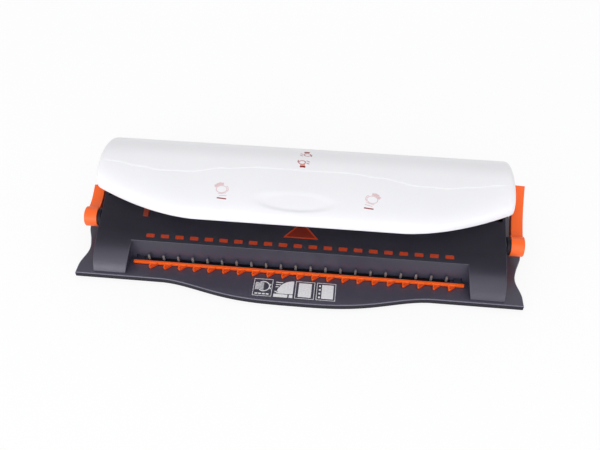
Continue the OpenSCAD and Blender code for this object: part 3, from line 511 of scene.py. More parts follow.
def linked(name: str, data: bpy.types.ID) -> Piece:
    """Puts data into the scene as a new object.

    Args:
        name: the object's name.
        data: its mesh, lamp or camera.

    Returns:
        The object.
    """
    obj = bpy.data.objects.new(name, data)
    bpy.context.scene.collection.objects.link(obj)
    return obj


def fresh(name: str) -> Piece:
    """Names the object that was just added and returns it."""
    bpy.context.object.name = name
    return bpy.context.object


@contextmanager
def editing(obj: Piece) -> Iterator[None]:
    """Opens a piece in edit mode with everything selected, and closes it after.

    Args:
        obj: the piece.

    Returns:
        The context in which the piece is open.
    """
    take(obj)
    bpy.ops.object.mode_set(mode="EDIT")
    bpy.ops.mesh.select_all(action="SELECT")
    yield
    bpy.ops.object.mode_set(mode="OBJECT")


def select(obj: Piece, part: Part, wanted: Callable[[Edge | Face], bool]) -> int:
    """Selects edges or faces by a test.

    Args:
        obj: the piece, which is left in edit mode.
        part: what is selected.
        wanted: the test.

    Returns:
        How many are selected.
    """
    take(obj)
    bpy.ops.object.mode_set(mode="EDIT")
    bpy.ops.mesh.select_mode(type=part.value)
    bpy.ops.mesh.select_all(action="DESELECT")
    mesh = bmesh.from_edit_mesh(obj.data)
    mesh.normal_update()
    found = [item for item in (mesh.edges if part is Part.EDGE else mesh.faces) if wanted(item)]
    for item in found:
        item.select = True
    bmesh.update_edit_mesh(obj.data)
    return len(found)


def round_edges(obj: Piece, wanted: Callable[[Edge], bool], radius: float, steps: int = 3,
                clamp: bool = True) -> None:
    """Bevels the edges that a test picks.

    Args:
        obj: the piece.
        wanted: the test.
        radius: bevel width in millimetres.
        steps: segments.
        clamp: whether short edges hold the bevel back.
    """
    if select(obj, Part.EDGE, wanted):
        bpy.ops.mesh.bevel(offset=radius * MM, segments=steps, affect="EDGES", clamp_overlap=clamp)
    bpy.ops.object.mode_set(mode="OBJECT")


def smooth(obj: Piece, angle: float) -> None:
    """Shades a piece smooth, with its large faces kept flat.

    Args:
        obj: the piece.
        angle: edges that turn more than this, in degrees, stay sharp.
    """
    take(obj)
    bpy.ops.object.shade_smooth_by_angle(angle=math.radians(angle))
    even = obj.modifiers.new("even", "WEIGHTED_NORMAL")
    even.keep_sharp = True
    even.weight = FLAT_WEIGHT
    bpy.ops.object.modifier_apply(modifier=even.name)


def copied_node(node: str, name: str, flat_angle: float = 0.8, merge: float = 2e-6) -> Piece:
    """Copies a CAD node's mesh as a merged piece of large faces.

    Args:
        node: the node.
        name: the new piece's name.
        flat_angle: faces that turn less than this, in degrees, become one.
        merge: corners closer than this, in metres, become one.

    Returns:
        The new piece.
    """
    obj = linked(name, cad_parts[node].data.copy())
    obj.data.materials.clear()
    take(obj)
    bpy.ops.mesh.customdata_custom_splitnormals_clear()
    with editing(obj):
        bpy.ops.mesh.remove_doubles(threshold=merge)
        bpy.ops.mesh.dissolve_limited(angle_limit=math.radians(flat_angle))
    return obj


def thickened(obj: Piece, thick: float, merge: float = 1e-6) -> Piece:
    """Gives a flat piece a thickness downwards.

    Args:
        obj: the piece, flat at z = 0.
        thick: thickness in millimetres.
        merge: corners closer than this, in metres, become one.

    Returns:
        The piece.
    """
    with editing(obj):
        bpy.ops.mesh.remove_doubles(threshold=merge)
        bpy.ops.mesh.extrude_region_move(TRANSFORM_OT_translate={"value": (0.0, 0.0, -thick * MM)})
        bpy.ops.mesh.select_all(action="SELECT")
        bpy.ops.mesh.normals_make_consistent(inside=False)
    return obj


def plate(name: str, outline: Path, thick: float) -> Piece:
    """Makes a flat plate of any outline, with its top at z = 0.

    Args:
        name: the piece's name.
        outline: corners in millimetres, counter-clockwise.
        thick: thickness in millimetres.

    Returns:
        The plate.
    """
    put_down()
    bpy.ops.mesh.primitive_circle_add(vertices=len(outline), radius=MM, fill_type="NGON")
    obj = fresh(name)
    for vertex, (x, y) in zip(obj.data.vertices, outline):
        vertex.co = (x * MM, y * MM, 0.0)
    return thickened(obj, thick)


def ribbon(name: str, path: Path, width: float, thick: float, closed: bool = False,
           least_mitre: float = 0.5) -> Piece:
    """Makes a flat printed line along a path, with its top at z = 0.

    Args:
        name: the piece's name.
        path: points in millimetres.
        width: width of the line in millimetres.
        thick: thickness in millimetres.
        closed: whether the last point joins the first.
        least_mitre: how sharp a corner may get before its mitre is held back.

    Returns:
        The line.
    """
    points = [Vector((*point, 0.0)) for point in path]
    if closed:
        points.append(points[0])
    ways = [(after - before).normalized() for before, after in zip(points, points[1:])]
    last = len(ways)
    put_down()
    bpy.ops.mesh.primitive_grid_add(x_subdivisions=last, y_subdivisions=1, size=2.0)
    obj = fresh(name)
    for vertex in obj.data.vertices:
        at = round((vertex.co.x + 1.0) / 2.0 * last)
        ahead = ways[at % last] if closed or at < last else ways[-1]
        behind = ways[at - 1] if closed or at > 0 else ways[0]
        along = (ahead + behind).normalized()
        reach = math.copysign(width / 2.0, vertex.co.y) / max(least_mitre, along.dot(ahead))
        vertex.co = (points[at] + Vector((-along.y, along.x, 0.0)) * reach) * MM
    return thickened(obj, thick)


def moved(obj: Piece, matrix: Matrix) -> Piece:
    """Moves a piece's mesh.

    Args:
        obj: the piece.
        matrix: where it goes from there.

    Returns:
        The piece.
    """
    obj.data.transform(matrix)
    obj.data.update()
    return obj


def joined(name: str, pieces: Sequence[Piece]) -> Piece:
    """Joins pieces into one object.

    Args:
        name: the new name.
        pieces: the pieces, of which the first keeps its materials first.

    Returns:
        The joined object.
    """
    take(pieces[0])
    for piece in pieces:
        piece.select_set(True)
    bpy.ops.object.join()
    pieces[0].name = pieces[0].data.name = name
    return pieces[0]


def in_row(obj: Piece, name: str, places: Sequence[Matrix], *others: Piece) -> Piece:
    """Joins copies of a piece, which goes away.

    Args:
        obj: the piece.
        name: the new name.
        places: where each copy goes.
        others: pieces that join them.

    Returns:
        The joined object.
    """
    copies = [moved(linked(obj.name, obj.data.copy()), place) for place in places]
    bpy.data.objects.remove(obj)
    return joined(name, [*others, *copies])


def draped(obj: Piece, surface: Callable[[float, float], float]) -> None:
    """Lays a flat printed piece on a surface.

    Args:
        obj: the piece, flat at z = 0.
        surface: height in millimetres at x and y in millimetres.
    """
    for vertex in obj.data.vertices:
        vertex.co.z += (surface(vertex.co.x / MM, vertex.co.y / MM) + PRINT_PROUD) * MM
    obj.data.update()


def ride(obj: Piece, body: Body, slot: Slot, *nodes: str) -> None:
    """Ties a finished piece to its body and hides the CAD nodes that it stands for.

    Args:
        obj: the piece.
        body: the body that it rides on.
        slot: not used.
        nodes: CAD nodes that it replaces.
    """
    if nodes:
        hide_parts(*nodes)
    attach(obj, body.value)
    LOG.info("%s: %d faces, rides on %s", obj.name, len(obj.data.polygons), body.value)


def dress(obj: Piece, *finishes: Finish) -> None:
    """Gives a new piece its materials.

    Args:
        obj: the piece.
        finishes: the materials in order.
    """
    obj.data.materials.clear()
    for finish in finishes:
        obj.data.materials.append(finish)


def convex_turn(edge: Edge) -> float:
    """Gives the angle in degrees by which a convex edge turns, negative for a concave one."""
    return math.degrees(edge.calc_face_angle_signed(0.0))


def middle(edge: Edge) -> Vector:
    """Gives the middle of an edge in millimetres."""
    return (edge.verts[0].co + edge.verts[1].co) / (2.0 * MM)


def ease(value: float) -> float:
    """Gives a smooth step from 0 to 1."""
    value = min(1.0, max(0.0, value))
    return value * value * (3 - 2 * value)


def bezier(points: Sequence[Vector], t: float) -> Vector:
    """Gives the point at t, from 0 to 1, on a cubic curve."""
    s = 1.0 - t
    return (points[0] * s ** 3 + points[1] * 3 * s * s * t + points[2] * 3 * s * t * t
            + points[3] * t ** 3)


def rectangle(x: float, y: float, wide: float, deep: float) -> list[Point]:
    """Gives the corners of a rectangle from its front left one."""
    return [(x, y), (x + wide, y), (x + wide, y + deep), (x, y + deep)]


def arc(at: Point, reach: Point, start: float, end: float, steps: int) -> list[Point]:
    """Gives points on the arc of an oval.

    Args:
        at: its middle.
        reach: its half sizes.
        start: first angle in degrees.
        end: last angle in degrees.
        steps: how many stretches it has.

    Returns:
        The points.
    """
    turns = [math.radians(start + (end - start) * i / steps) for i in range(steps + 1)]
    return [(at[0] + reach[0] * math.cos(turn), at[1] + reach[1] * math.sin(turn))
            for turn in turns]


def comb_row() -> list[float]:
    """Gives the places of the comb's rings across the machine, in millimetres."""
    return [(i - (COMB_RINGS - 1) / 2) * COMB_PITCH for i in range(COMB_RINGS)]


# Sub-assemblies


@dataclass
class Assembly:
    """A group of pieces that is built and then dressed."""

    palette: Palette
    piece: Piece = field(init=False)


@dataclass
class BasePlate(Assembly):
    """The base tray with its softened top edge."""

    top_radius: float = 1.1
    top_steps: int = 5
    sharp_from: float = 32.0
    level: float = 0.05
    least_turn: float = 40.0
    front_to: float = -54.0
    rear_band: float = 8.0
    side_from: float = 189.0
    rim_from: float = 0.35
    rim_to: float = 0.97
    rear_from: float = field(init=False)

    def on_outline(self, edge: Edge) -> bool:
        """Tells whether an edge is on the deck's outer outline."""
        spot = middle(edge)
        return (abs(spot.z - DECK_Z) <= self.level and convex_turn(edge) >= self.least_turn
                and (not self.front_to <= spot.y <= self.rear_from or abs(spot.x) > self.side_from))

    def build(self) -> None:
        """Copies the base and rounds its outline above."""
        self.piece = copied_node("base_plate", "base_tray")
        self.rear_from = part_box("base_plate")[1][1] / MM - self.rear_band
        round_edges(self.piece, self.on_outline, self.top_radius, self.top_steps, clamp=False)
        smooth(self.piece, self.sharp_from)

    def finish(self) -> None:
        """Dresses the tray, with a painted highlight on its rounded top edge and painted shade on
        its sides, and ties it to the chassis.
        """
        dress(self.piece, self.palette.lit_deck_grey, self.palette.shade_grey, self.palette.highlight_grey)
        # the rounded top edge takes the painted highlight, the side walls and underside the painted
        # shade
        for face in self.piece.data.polygons:
            turned = self.rim_from < face.normal.z < self.rim_to
            face.material_index = 2 if turned else int(face.normal.z <= self.rim_from)
        ride(self.piece, Body.CHASSIS, Slot.DARK, "base_plate")


@dataclass
class BodyShell(Assembly):
    """The body with its end blocks, shelf and walls."""

    flat_to: float = 0.4
    sharp_from: float = 30.0
    block_radius: float = 1.5
    block_in: float = 158.0
    block_back: float = -36.0
    block_low: float = 7.3
    least_turn: float = 40.0
    least_length: float = 0.4

    def on_block(self, edge: Edge) -> bool:
        """Tells whether an edge is an outer edge of an end block."""
        x, y, z = middle(edge)
        return (abs(x) >= self.block_in and y <= self.block_back and z >= self.block_low
                and convex_turn(edge) > self.least_turn
                and edge.calc_length() > self.least_length * MM)

    def build(self) -> None:
        """Copies the body and softens the edges of the blocks."""
        self.piece = copied_node("body_shell", "body_moulding", self.flat_to)
        round_edges(self.piece, self.on_block, self.block_radius)
        smooth(self.piece, self.sharp_from)

    def finish(self) -> None:
        """Dresses the body and ties it to the chassis."""
        dress(self.piece, self.palette.anthracite)
        ride(self.piece, Body.CHASSIS, Slot.DARK, "body_shell")


@dataclass
class PressCover(Assembly):
    """The white cover that is pressed to punch, with its step line and thumb dish."""

    half: float = 199.0
    end_round: float = 4.0
    end_pull: float = 0.6
    lip_y: float = -35.6
    lip_z: float = 61.5
    lip_h: float = 1.5
    lip_flat: float = 95.0
    lip_bow: float = 35.0
    lip_power: float = 1.75
    lip_bulge: Point = (1.5, 0.55)
    lip_share: float = 0.12
    crown_h: float = 20.0
    crown_y: float = 25.0
    crown_front: Point = (0.4, 0.05)
    crown_rear: Point = (0.34, 0.5)
    rear_y: float = 81.5
    rear_z: float = 47.5
    rear_fall: Point = (0.2, 0.27)
    wall: float = 2.5
    cols: int = 190
    rows: int = 150
    end_share: float = 0.03
    rim_share: float = 0.012
    rim_fade: float = 0.15
    step_depth: float = 0.5
    step_run: float = 1.3
    step_rows: Point = (0.47, 0.55)
    step_line: tuple[Point, ...] = ((0, 18.5), (40, 19), (75, 15), (108, 8), (135, 7.5), (157, 11),
                                    (184, 16), (199, 18))
    lip_fade: float = 22.0
    end_gap: float = 3.0
    end_fade: float = 12.0
    dish_at: Point = (-4.0, -18.5)
    dish_half: Point = (42.0, 11.0)
    dish_depth: float = 2.1
    dish_wall: float = 0.4
    dish_rear: float = 0.25
    dish_lean: float = 1.6
    rim_radius: float = 0.45
    rim_steps: int = 2
    rim_turn: float = 55.0
    sharp_from: float = 34.0
    end_reach: float = 0.01
    halvings: int = 40
    stops: dict[float, Point] = field(default_factory=dict)

    def drawn_in(self, x: float) -> float:
        """Gives how far the section draws in near a rounded end."""
        over = max(0.0, abs(x) - self.half + self.end_round)
        return self.end_round - math.sqrt(max(0.0, self.end_round ** 2 - over ** 2))

    def lip_edge(self, x: float) -> float:
        """Gives the front edge of the lip, which bows back towards the ends."""
        out = max(0.0, abs(x) - self.lip_flat) / (self.half - self.lip_flat)
        return self.lip_y + self.lip_bow * out ** self.lip_power

    def arcs(self, x: float) -> tuple[list[Vector], list[Vector]]:
        """Gives the control points of the section's two curves.

        Args:
            x: station along the cover in millimetres.

        Returns:
            Four points each, as (y, z), of the front and the rear curve.
        """
        inset = self.drawn_in(x)
        front = self.lip_edge(x) + self.end_pull * inset
        rear = self.rear_y - self.end_pull * inset
        top = self.lip_z + self.crown_h - inset
        back, ahead, behind = self.crown_y, self.crown_y - front, rear - self.crown_y
        bulge = self.lip_z + self.crown_h * self.lip_bulge[1] - inset / 2
        first = ((front, self.lip_z), (front - self.lip_bulge[0], bulge),
                 (front + ahead * self.crown_front[0], top - self.crown_h * self.crown_front[1]),
                 (back, top))
        second = ((back, top), (back + behind * self.crown_rear[0], top + self.crown_rear[1]),
                  (rear - behind * self.rear_fall[0],
                   top - (top - self.rear_z) * self.rear_fall[1]),
                  (rear, self.rear_z))
        return [Vector(point) for point in first], [Vector(point) for point in second]

    def point_at(self, x: float, share: float) -> Vector:
        """Gives the section's (y, z) at a share from 0 at the lip to 2 at the rear edge."""
        curve = int(share >= 1.0)
        return bezier(self.arcs(x)[curve], share - curve)

    def share_at(self, x: float, y: float) -> float:
        """Finds a place along the section.

        Args:
            x: station along the cover in millimetres.
            y: place front to back, in millimetres.

        Returns:
            The share there, from 0 at the lip through 1 at the crown to 2 at the rear edge.
        """
        curve = int(y >= self.crown_y)
        points = self.arcs(x)[curve]
        low, high = (0.0 if curve else self.lip_share), 1.0
        for _ in range(self.halvings):
            half = (low + high) / 2
            low, high = (half, high) if bezier(points, half).x < y else (low, half)
        return curve + low

    def step_at(self, x: float) -> float:
        """Gives the place of the step line.

        Args:
            x: station along the cover in millimetres.

        Returns:
            The place front to back, in millimetres.
        """
        for (x0, y0), (x1, y1) in zip(self.step_line, self.step_line[1:]):
            if abs(x) <= x1:
                return y0 + (y1 - y0) * ease((abs(x) - x0) / (x1 - x0))
        return self.step_line[-1][1]

    def sunk(self, x: float, y: float) -> float:
        """Gives how far the surface is let in at a place.

        Args:
            x: place across, in millimetres.
            y: place front to back, in millimetres.

        Returns:
            The depth of the step and the dish there, in millimetres.
        """
        ahead = ease((self.step_at(x) - y) / self.step_run)
        lip = ease((y - self.lip_edge(x)) / self.lip_fade)
        ends = ease((self.half - self.end_gap - abs(x)) / self.end_fade)
        across = (x - self.dish_at[0]) / self.dish_half[0]
        deep = (y - self.dish_at[1]) / self.dish_half[1]
        bowl = ease((1.0 - math.hypot(across, deep)) / self.dish_wall)
        lean = self.dish_rear + (1.0 - self.dish_rear) * min(1.0, (1.0 - deep) / self.dish_lean)
        return self.step_depth * ahead * lip * ends + self.dish_depth * bowl * lean

    def height(self, x: float, y: float) -> float:
        """Gives the height of the finished surface at a place, all in millimetres."""
        return self.point_at(x, self.share_at(x, y)).y - self.sunk(x, y)

    def spread(self, x: float, part: float) -> float:
        """Gives the share for a row, with more rows across the step.

        Args:
            x: station along the cover in millimetres.
            part: 0 to 1 from the first row to the last.

        Returns:
            The share, from 0 at the lip to 2 at the rear edge.
        """
        if x not in self.stops:
            step = self.step_at(x)
            self.stops[x] = (self.share_at(x, step - self.step_run), self.share_at(x, step))
        rows = (0.0, *self.step_rows, 1.0)
        shares = (0.0, *self.stops[x], 2.0)
        zone = sum(part > row for row in self.step_rows)
        along = (part - rows[zone]) / (rows[zone + 1] - rows[zone])
        return shares[zone] + (shares[zone + 1] - shares[zone]) * along

    def spot(self, u: float, v: float) -> Place:
        """Gives a point of the skin.

        Args:
            u: 0 to 1 along the cover.
            v: 0 to 1 from the lip to the rear edge.

        Returns:
            The point in millimetres.
        """
        inner = self.half - self.end_round
        side = min(u, 1.0 - u)
        if side < self.end_share:
            turn = math.pi / 2 * (1.0 - side / self.end_share)
            reach = inner + self.end_round * math.sin(turn)
        else:
            reach = inner * (0.5 - side) / (0.5 - self.end_share)
        x = math.copysign(reach, u - 0.5)
        first, second = self.arcs(x)
        if v < self.rim_share:
            return x, first[0].x, self.lip_z - self.lip_h * (1.0 - v / self.rim_share)
        if v > 1.0 - self.rim_share:
            return x, second[-1].x, self.rear_z - self.lip_h * (1.0 - (1.0 - v) / self.rim_share)
        share = self.spread(x, (v - self.rim_share) / (1.0 - 2 * self.rim_share))
        point = self.point_at(x, share)
        return x, point.x, point.y - self.sunk(x, point.x) * min(1.0, share / self.rim_fade)

    def build(self) -> None:
        """Bends a grid into the skin, closes its ends and gives it a wall."""
        put_down()
        bpy.ops.mesh.primitive_grid_add(x_subdivisions=self.cols, y_subdivisions=self.rows,
                                        size=2.0)
        self.piece = fresh("press_cover")
        for vertex in self.piece.data.vertices:
            place = self.spot((vertex.co.x + 1.0) / 2, (vertex.co.y + 1.0) / 2)
            vertex.co = Vector(place) * MM
        limit = (self.half - self.end_reach) * MM
        for side in (-1.0, 1.0):
            select(self.piece, Part.EDGE,
                   lambda edge: all(v.co.x * side > limit for v in edge.verts))
            bpy.ops.mesh.edge_face_add()
        with editing(self.piece):
            bpy.ops.mesh.normals_make_consistent(inside=False)
        top = max(self.piece.data.polygons, key=lambda face: face.center.z)
        if top.normal.z < 0.0:
            self.piece.data.flip_normals()
        shell = self.piece.modifiers.new("wall", "SOLIDIFY")
        shell.thickness = self.wall * MM
        shell.offset = -1.0
        shell.use_even_offset = True
        bpy.ops.object.modifier_apply(modifier=shell.name)
        round_edges(self.piece, lambda edge: convex_turn(edge) > self.rim_turn, self.rim_radius,
                    self.rim_steps)
        smooth(self.piece, self.sharp_from)

    def finish(self) -> None:
        """Dresses the cover and ties it to its hinge."""
        dress(self.piece, self.palette.white)
        ride(self.piece, Body.COVER, Slot.WHITE, "cover")


@dataclass
class SideLevers(Assembly):
    """The two orange pull levers with softened rims."""

    rim_radius: float = 1.0
    rim_turn: float = 50.0
    side_normal: float = 0.98
    sharp_from: float = 35.0
    collar_to: float = 200.9
    nodes: tuple[str, ...] = ("left_lever", "right_lever")
    names: tuple[str, ...] = ("left_pull_lever", "right_pull_lever")
    pieces: list[Piece] = field(default_factory=list)

    def on_rim(self, edge: Edge) -> bool:
        """Tells whether an edge is on the rim of a side face."""
        sides = [abs(face.normal.x) > self.side_normal for face in edge.link_faces]
        return sides.count(True) == 1 and convex_turn(edge) > self.rim_turn

    def build(self) -> None:
        """Copies both levers and rounds the rims of their sides."""
        for node, name in zip(self.nodes, self.names):
            self.pieces.append(copied_node(node, name))
            round_edges(self.pieces[-1], self.on_rim, self.rim_radius)
            smooth(self.pieces[-1], self.sharp_from)

    def finish(self) -> None:
        """Dresses the levers, their collars painted dark as shade, and ties them to their shaft."""
        for piece, node in zip(self.pieces, self.nodes):
            dress(piece, self.palette.orange, self.palette.shade_grey)
            # painted shade: the collar next to the body is dressed dark, though it is one with the
            # orange lever
            for face in piece.data.polygons:
                face.material_index = int(abs(face.center.x) < self.collar_to * MM)
            ride(piece, Body.LEVERS, Slot.ORANGE, node)


@dataclass
class CombSlider(Assembly):
    """The toothed slider that draws the comb's rings open."""

    strip_half: float = 158.575
    strip_front: float = -50.55
    strip_rear: float = -47.95
    low: float = 7.4
    high: float = 10.8
    tooth_dx: float = 0.5
    tooth_w: float = 8.0
    tooth_l: float = 5.8
    tooth_root: float = 0.4
    tooth_foot: float = 0.86
    foot_middle: float = 0.35
    tip: tuple[Point, ...] = ((0.0, 0.75), (0.0, 1.0), (1.2, 1.05), (2.6, 0.88))
    tip_steps: int = 5
    rim: float = 1.3
    pocket: float = 0.7
    pocket_wall: Point = (0.4, 0.6)
    pocket_floor: float = 0.5
    edge: float = 0.35
    edge_steps: int = 2
    tooth_edge: float = 0.21
    tooth_turn: float = 45.0
    tooth_top: float = 0.1
    undercut: float = 0.4
    arm_lap: float = 0.3
    arm_flat: float = 0.2
    sharp_from: float = 30.0
    upright: float = 0.2
    shaded_from: float = -0.6
    racks: Piece = field(init=False)

    def tooth_outline(self) -> list[Point]:
        """Gives a tooth's corners from its root, with y forward of the strip as negative.

        Returns:
            The corners in millimetres.
        """
        tip = [Vector((x, -self.tooth_l * share)) for x, share in self.tip]
        curve = [tuple(bezier(tip, i / self.tip_steps)) for i in range(self.tip_steps + 1)]
        root, wide = self.tooth_root, self.tooth_w
        return [(0.0, root), *curve, (wide, 0.0), (wide, root)]

    def on_top(self, edge: Edge) -> bool:
        """Tells whether an edge is round the top of a tooth."""
        return convex_turn(edge) > self.tooth_turn and middle(edge).z > -self.tooth_top

    def tooth(self) -> Piece:
        """Models one tooth with a raised rim round a pocket, painted in shade inside.

        Returns:
            The tooth, with the root of its steep side at the origin.
        """
        obj = plate("slider_tooth", self.tooth_outline(), self.high - self.low)
        select(obj, Part.FACE, lambda face: face.normal.z < -FACES_UP)
        bpy.ops.transform.resize(value=(self.tooth_foot, self.tooth_foot, 1.0),
                                 center_override=(self.tooth_w * self.foot_middle * MM, 0.0, 0.0))
        select(obj, Part.FACE, lambda face: face.normal.z > FACES_UP)
        bpy.ops.mesh.inset(thickness=self.rim * MM, use_even_offset=True)
        bpy.ops.transform.translate(value=(0.0, 0.0, -self.pocket * MM))
        round_edges(obj, self.on_top, self.tooth_edge, self.edge_steps)
        dress(obj, self.palette.slider_orange, self.palette.shade_orange)
        # painted shade: the pocket's floor and inner walls take the darker orange
        for face in obj.data.polygons:
            drop = -face.center.z / MM / self.pocket
            floor = face.normal.z > FACES_UP and drop > self.pocket_floor
            inside = self.pocket_wall[0] < drop < self.pocket_wall[1]
            face.material_index = int(floor or inside and abs(face.normal.z) < self.upright)
        return obj

    def strip(self) -> Piece:
        """Models the strip behind the teeth, undercut along its front.

        Returns:
            The strip.
        """
        put_down()
        bpy.ops.mesh.primitive_cube_add(size=1.0)
        obj = fresh("slider_strip")
        for vertex in obj.data.vertices:
            foot, ahead = vertex.co.z < 0, vertex.co.y < 0
            y = self.strip_front + self.undercut * foot if ahead else self.strip_rear
            z = self.low if foot else self.high
            vertex.co = Vector((math.copysign(self.strip_half, vertex.co.x), y, z)) * MM
        round_edges(obj, lambda edge: True, self.edge, self.edge_steps)
        dress(obj, self.palette.slider_orange)
        return obj

    def arms(self) -> Piece:
        """Takes the rack arms behind the strip from the CAD slider.

        Returns:
            The arms.
        """
        obj = copied_node("comb_slider", "slider_racks", self.arm_flat)
        with editing(obj):
            bpy.ops.mesh.bisect(plane_co=(0.0, (self.strip_rear - self.arm_lap) * MM, 0.0),
                                plane_no=(0.0, 1.0, 0.0), clear_inner=True, use_fill=True)
        smooth(obj, self.sharp_from)
        return obj

    def build(self) -> None:
        """Sets the teeth along the strip, with the rack arms as a piece of their own."""
        places = [Matrix.Translation(Vector((x + self.tooth_dx, self.strip_front, self.high)) * MM)
                  for x in comb_row()]
        self.racks = self.arms()
        self.piece = in_row(self.tooth(), "comb_slider_moulding", places, self.strip())
        # painted shade: the teeth's slanted front faces take the darker orange
        for face in self.piece.data.polygons:
            if face.normal.y < self.shaded_from and face.normal.x > self.upright:
                face.material_index = 1
        smooth(self.piece, self.sharp_from)

    def finish(self) -> None:
        """Dresses the racks and ties both pieces to the slide."""
        dress(self.racks, self.palette.anthracite)
        ride(self.racks, Body.SLIDE, Slot.DARK)
        ride(self.piece, Body.SLIDE, Slot.ORANGE, "comb_slider")


@dataclass
class ShelfMarks(Assembly):
    """The printed row of slot marks and the arrow on the paper shelf."""

    slope: float = math.radians(20.0)
    edge_y: float = -39.0
    edge_z: float = 28.5
    dash: Point = (8.0, 3.7)
    dash_back: float = 4.1
    corner: float = 0.5
    arrow_x: float = 1.9
    arrow_half: float = 17.0
    arrow_front: float = 14.0
    arrow_deep: float = 17.5
    arrow_line: float = 1.3
    thick: float = 0.06
    arrow: Piece = field(init=False)

    def on_shelf(self, x: float, back: float) -> Matrix:
        """Gives the matrix from a flat piece to a place on the shelf.

        Args:
            x: place across, in millimetres.
            back: way up the slope from the shelf's front edge, in millimetres.

        Returns:
            The matrix.
        """
        turn = Matrix.Rotation(self.slope, 4, "X")
        place = Vector((x, self.edge_y, self.edge_z)) + turn @ Vector((0.0, back, PRINT_PROUD))
        return Matrix.Translation(place * MM) @ turn

    def build(self) -> None:
        """Models one dash, sets the row of them, and models the arrow."""
        wide, deep = self.dash
        dash = plate("dash", rectangle(-wide / 2, -deep / 2, wide, deep), self.thick)
        tall = self.thick * MM / 2
        round_edges(dash, lambda edge: abs(edge.verts[0].co.z - edge.verts[1].co.z) > tall,
                    self.corner)
        places = [self.on_shelf(x, self.dash_back + deep / 2) for x in comb_row()]
        self.piece = in_row(dash, "shelf_dashes", places)
        corners = [(-self.arrow_half, 0.0), (self.arrow_half, 0.0), (0.0, self.arrow_deep)]
        self.arrow = plate("shelf_arrow", corners, self.thick)
        select(self.arrow, Part.FACE, lambda face: face.normal.z > FACES_UP)
        bpy.ops.mesh.inset(thickness=self.arrow_line * MM, use_even_offset=True)
        put_down()
        moved(self.arrow, self.on_shelf(self.arrow_x, self.arrow_front))

    def finish(self) -> None:
        """Dresses the marks, the arrow darker inside its line, and ties them to the chassis."""
        dress(self.piece, self.palette.red_ink)
        dress(self.arrow, self.palette.red_ink, self.palette.dark_red_ink)
        for face in self.arrow.data.polygons:
            face.material_index = int(face.normal.z > FACES_UP and len(face.vertices) == 3)
        for piece in (self.piece, self.arrow):
            ride(piece, Body.CHASSIS, Slot.ORANGE)


@dataclass(frozen=True)
class BarRow:
    """A row of printed bars, in millimetres from their square's front left corner."""

    x: float
    y: float
    wide: float
    deep: float
    count: int = 1
    step: Point = (0.0, 0.0)
    narrower: float = 0.0

    def outlines(self) -> list[list[Point]]:
        """Gives the corners of each bar."""
        return [rectangle(self.x + i * self.step[0], self.y + i * self.step[1],
                          self.wide - i * self.narrower, self.deep) for i in range(self.count)]


@dataclass
class DeckPictograms(Assembly):
    """Four printed squares on the deck: comb and pages, comb size gauge, sheet, punched sheet."""

    side: Point = (18.0, 20.4)
    gap: float = 1.9
    front: float = -77.6
    line: float = 0.5
    thick: float = 0.06
    ring_at: Point = (9.6, 11.6)
    ring_radius: float = 5.6
    ring_open: float = 150.0
    ring_line: float = 1.0
    ring_steps: int = 28
    gauge_at: Point = (18.0, 4.3)
    gauge_radius: float = 15.5
    gauge_steps: int = 20
    comb: tuple[BarRow, ...] = (BarRow(1.6, 7.5, 8.2, 0.72, 7, (0.0, 1.25)),
                                BarRow(15.6, 8.4, 1.0, 2.0, 2, (0.0, 4.4)),
                                BarRow(2.2, 1.9, 2.7, 1.5, 4, (3.5, 0.0)))
    gauge: tuple[BarRow, ...] = (BarRow(0.0, 0.0, 13.2, 3.6), BarRow(14.6, 0.0, 3.4, 3.6),
                                 BarRow(0.6, 5.6, 3.0, 1.3),
                                 BarRow(1.0, 17.0, 6.6, 0.9, 3, (0.0, -2.7), 1.9))
    sheet: tuple[BarRow, ...] = (BarRow(2.9, 2.0, 12.2, 16.4),)
    punched: tuple[BarRow, ...] = (BarRow(4.9, 2.0, 11.0, 16.4),
                                   BarRow(2.1, 2.4, 1.7, 2.0, 4, (0.0, 4.4)))

    def framed(self) -> Piece:
        """Draws the line round a square."""
        corners = rectangle(self.line / 2, self.line / 2, *(side - self.line for side in self.side))
        return ribbon("frame", corners, self.line, self.thick, closed=True)

    def ring(self) -> Piece:
        """Draws a ring of the comb round the pages."""
        path = arc(self.ring_at, (self.ring_radius,) * 2, -self.ring_open, self.ring_open,
                   self.ring_steps)
        return ribbon("ring", path, self.ring_line, self.thick)

    def quarter(self) -> Piece:
        """Draws the quarter-round gauge."""
        rim = arc(self.gauge_at, (self.gauge_radius,) * 2, 90.0, 180.0, self.gauge_steps)
        return plate("gauge", [self.gauge_at, *rim], self.thick)

    def build(self) -> None:
        """Prints the four squares side by side and lays them on the deck."""
        wide = self.side[0]
        squares = ((self.comb, (self.framed, self.ring)), (self.gauge, (self.quarter,)),
                   (self.sheet, (self.framed,)), (self.punched, (self.framed,)))
        left = -(len(squares) * (wide + self.gap) - self.gap) / 2
        parts: list[Piece] = []
        for i, (rows, shapes) in enumerate(squares):
            drawn = [shape() for shape in shapes]
            drawn += [plate("bar", bar, self.thick) for row in rows for bar in row.outlines()]
            place = Vector((left + i * (wide + self.gap), self.front, 0.0)) * MM
            parts += [moved(part, Matrix.Translation(place)) for part in drawn]
        self.piece = joined("deck_pictograms", parts)
        draped(self.piece, lambda x, y: DECK_Z)

    def finish(self) -> None:
        """Dresses the squares and ties them to the chassis."""
        dress(self.piece, self.palette.grey_ink)
        ride(self.piece, Body.CHASSIS, Slot.DARK)


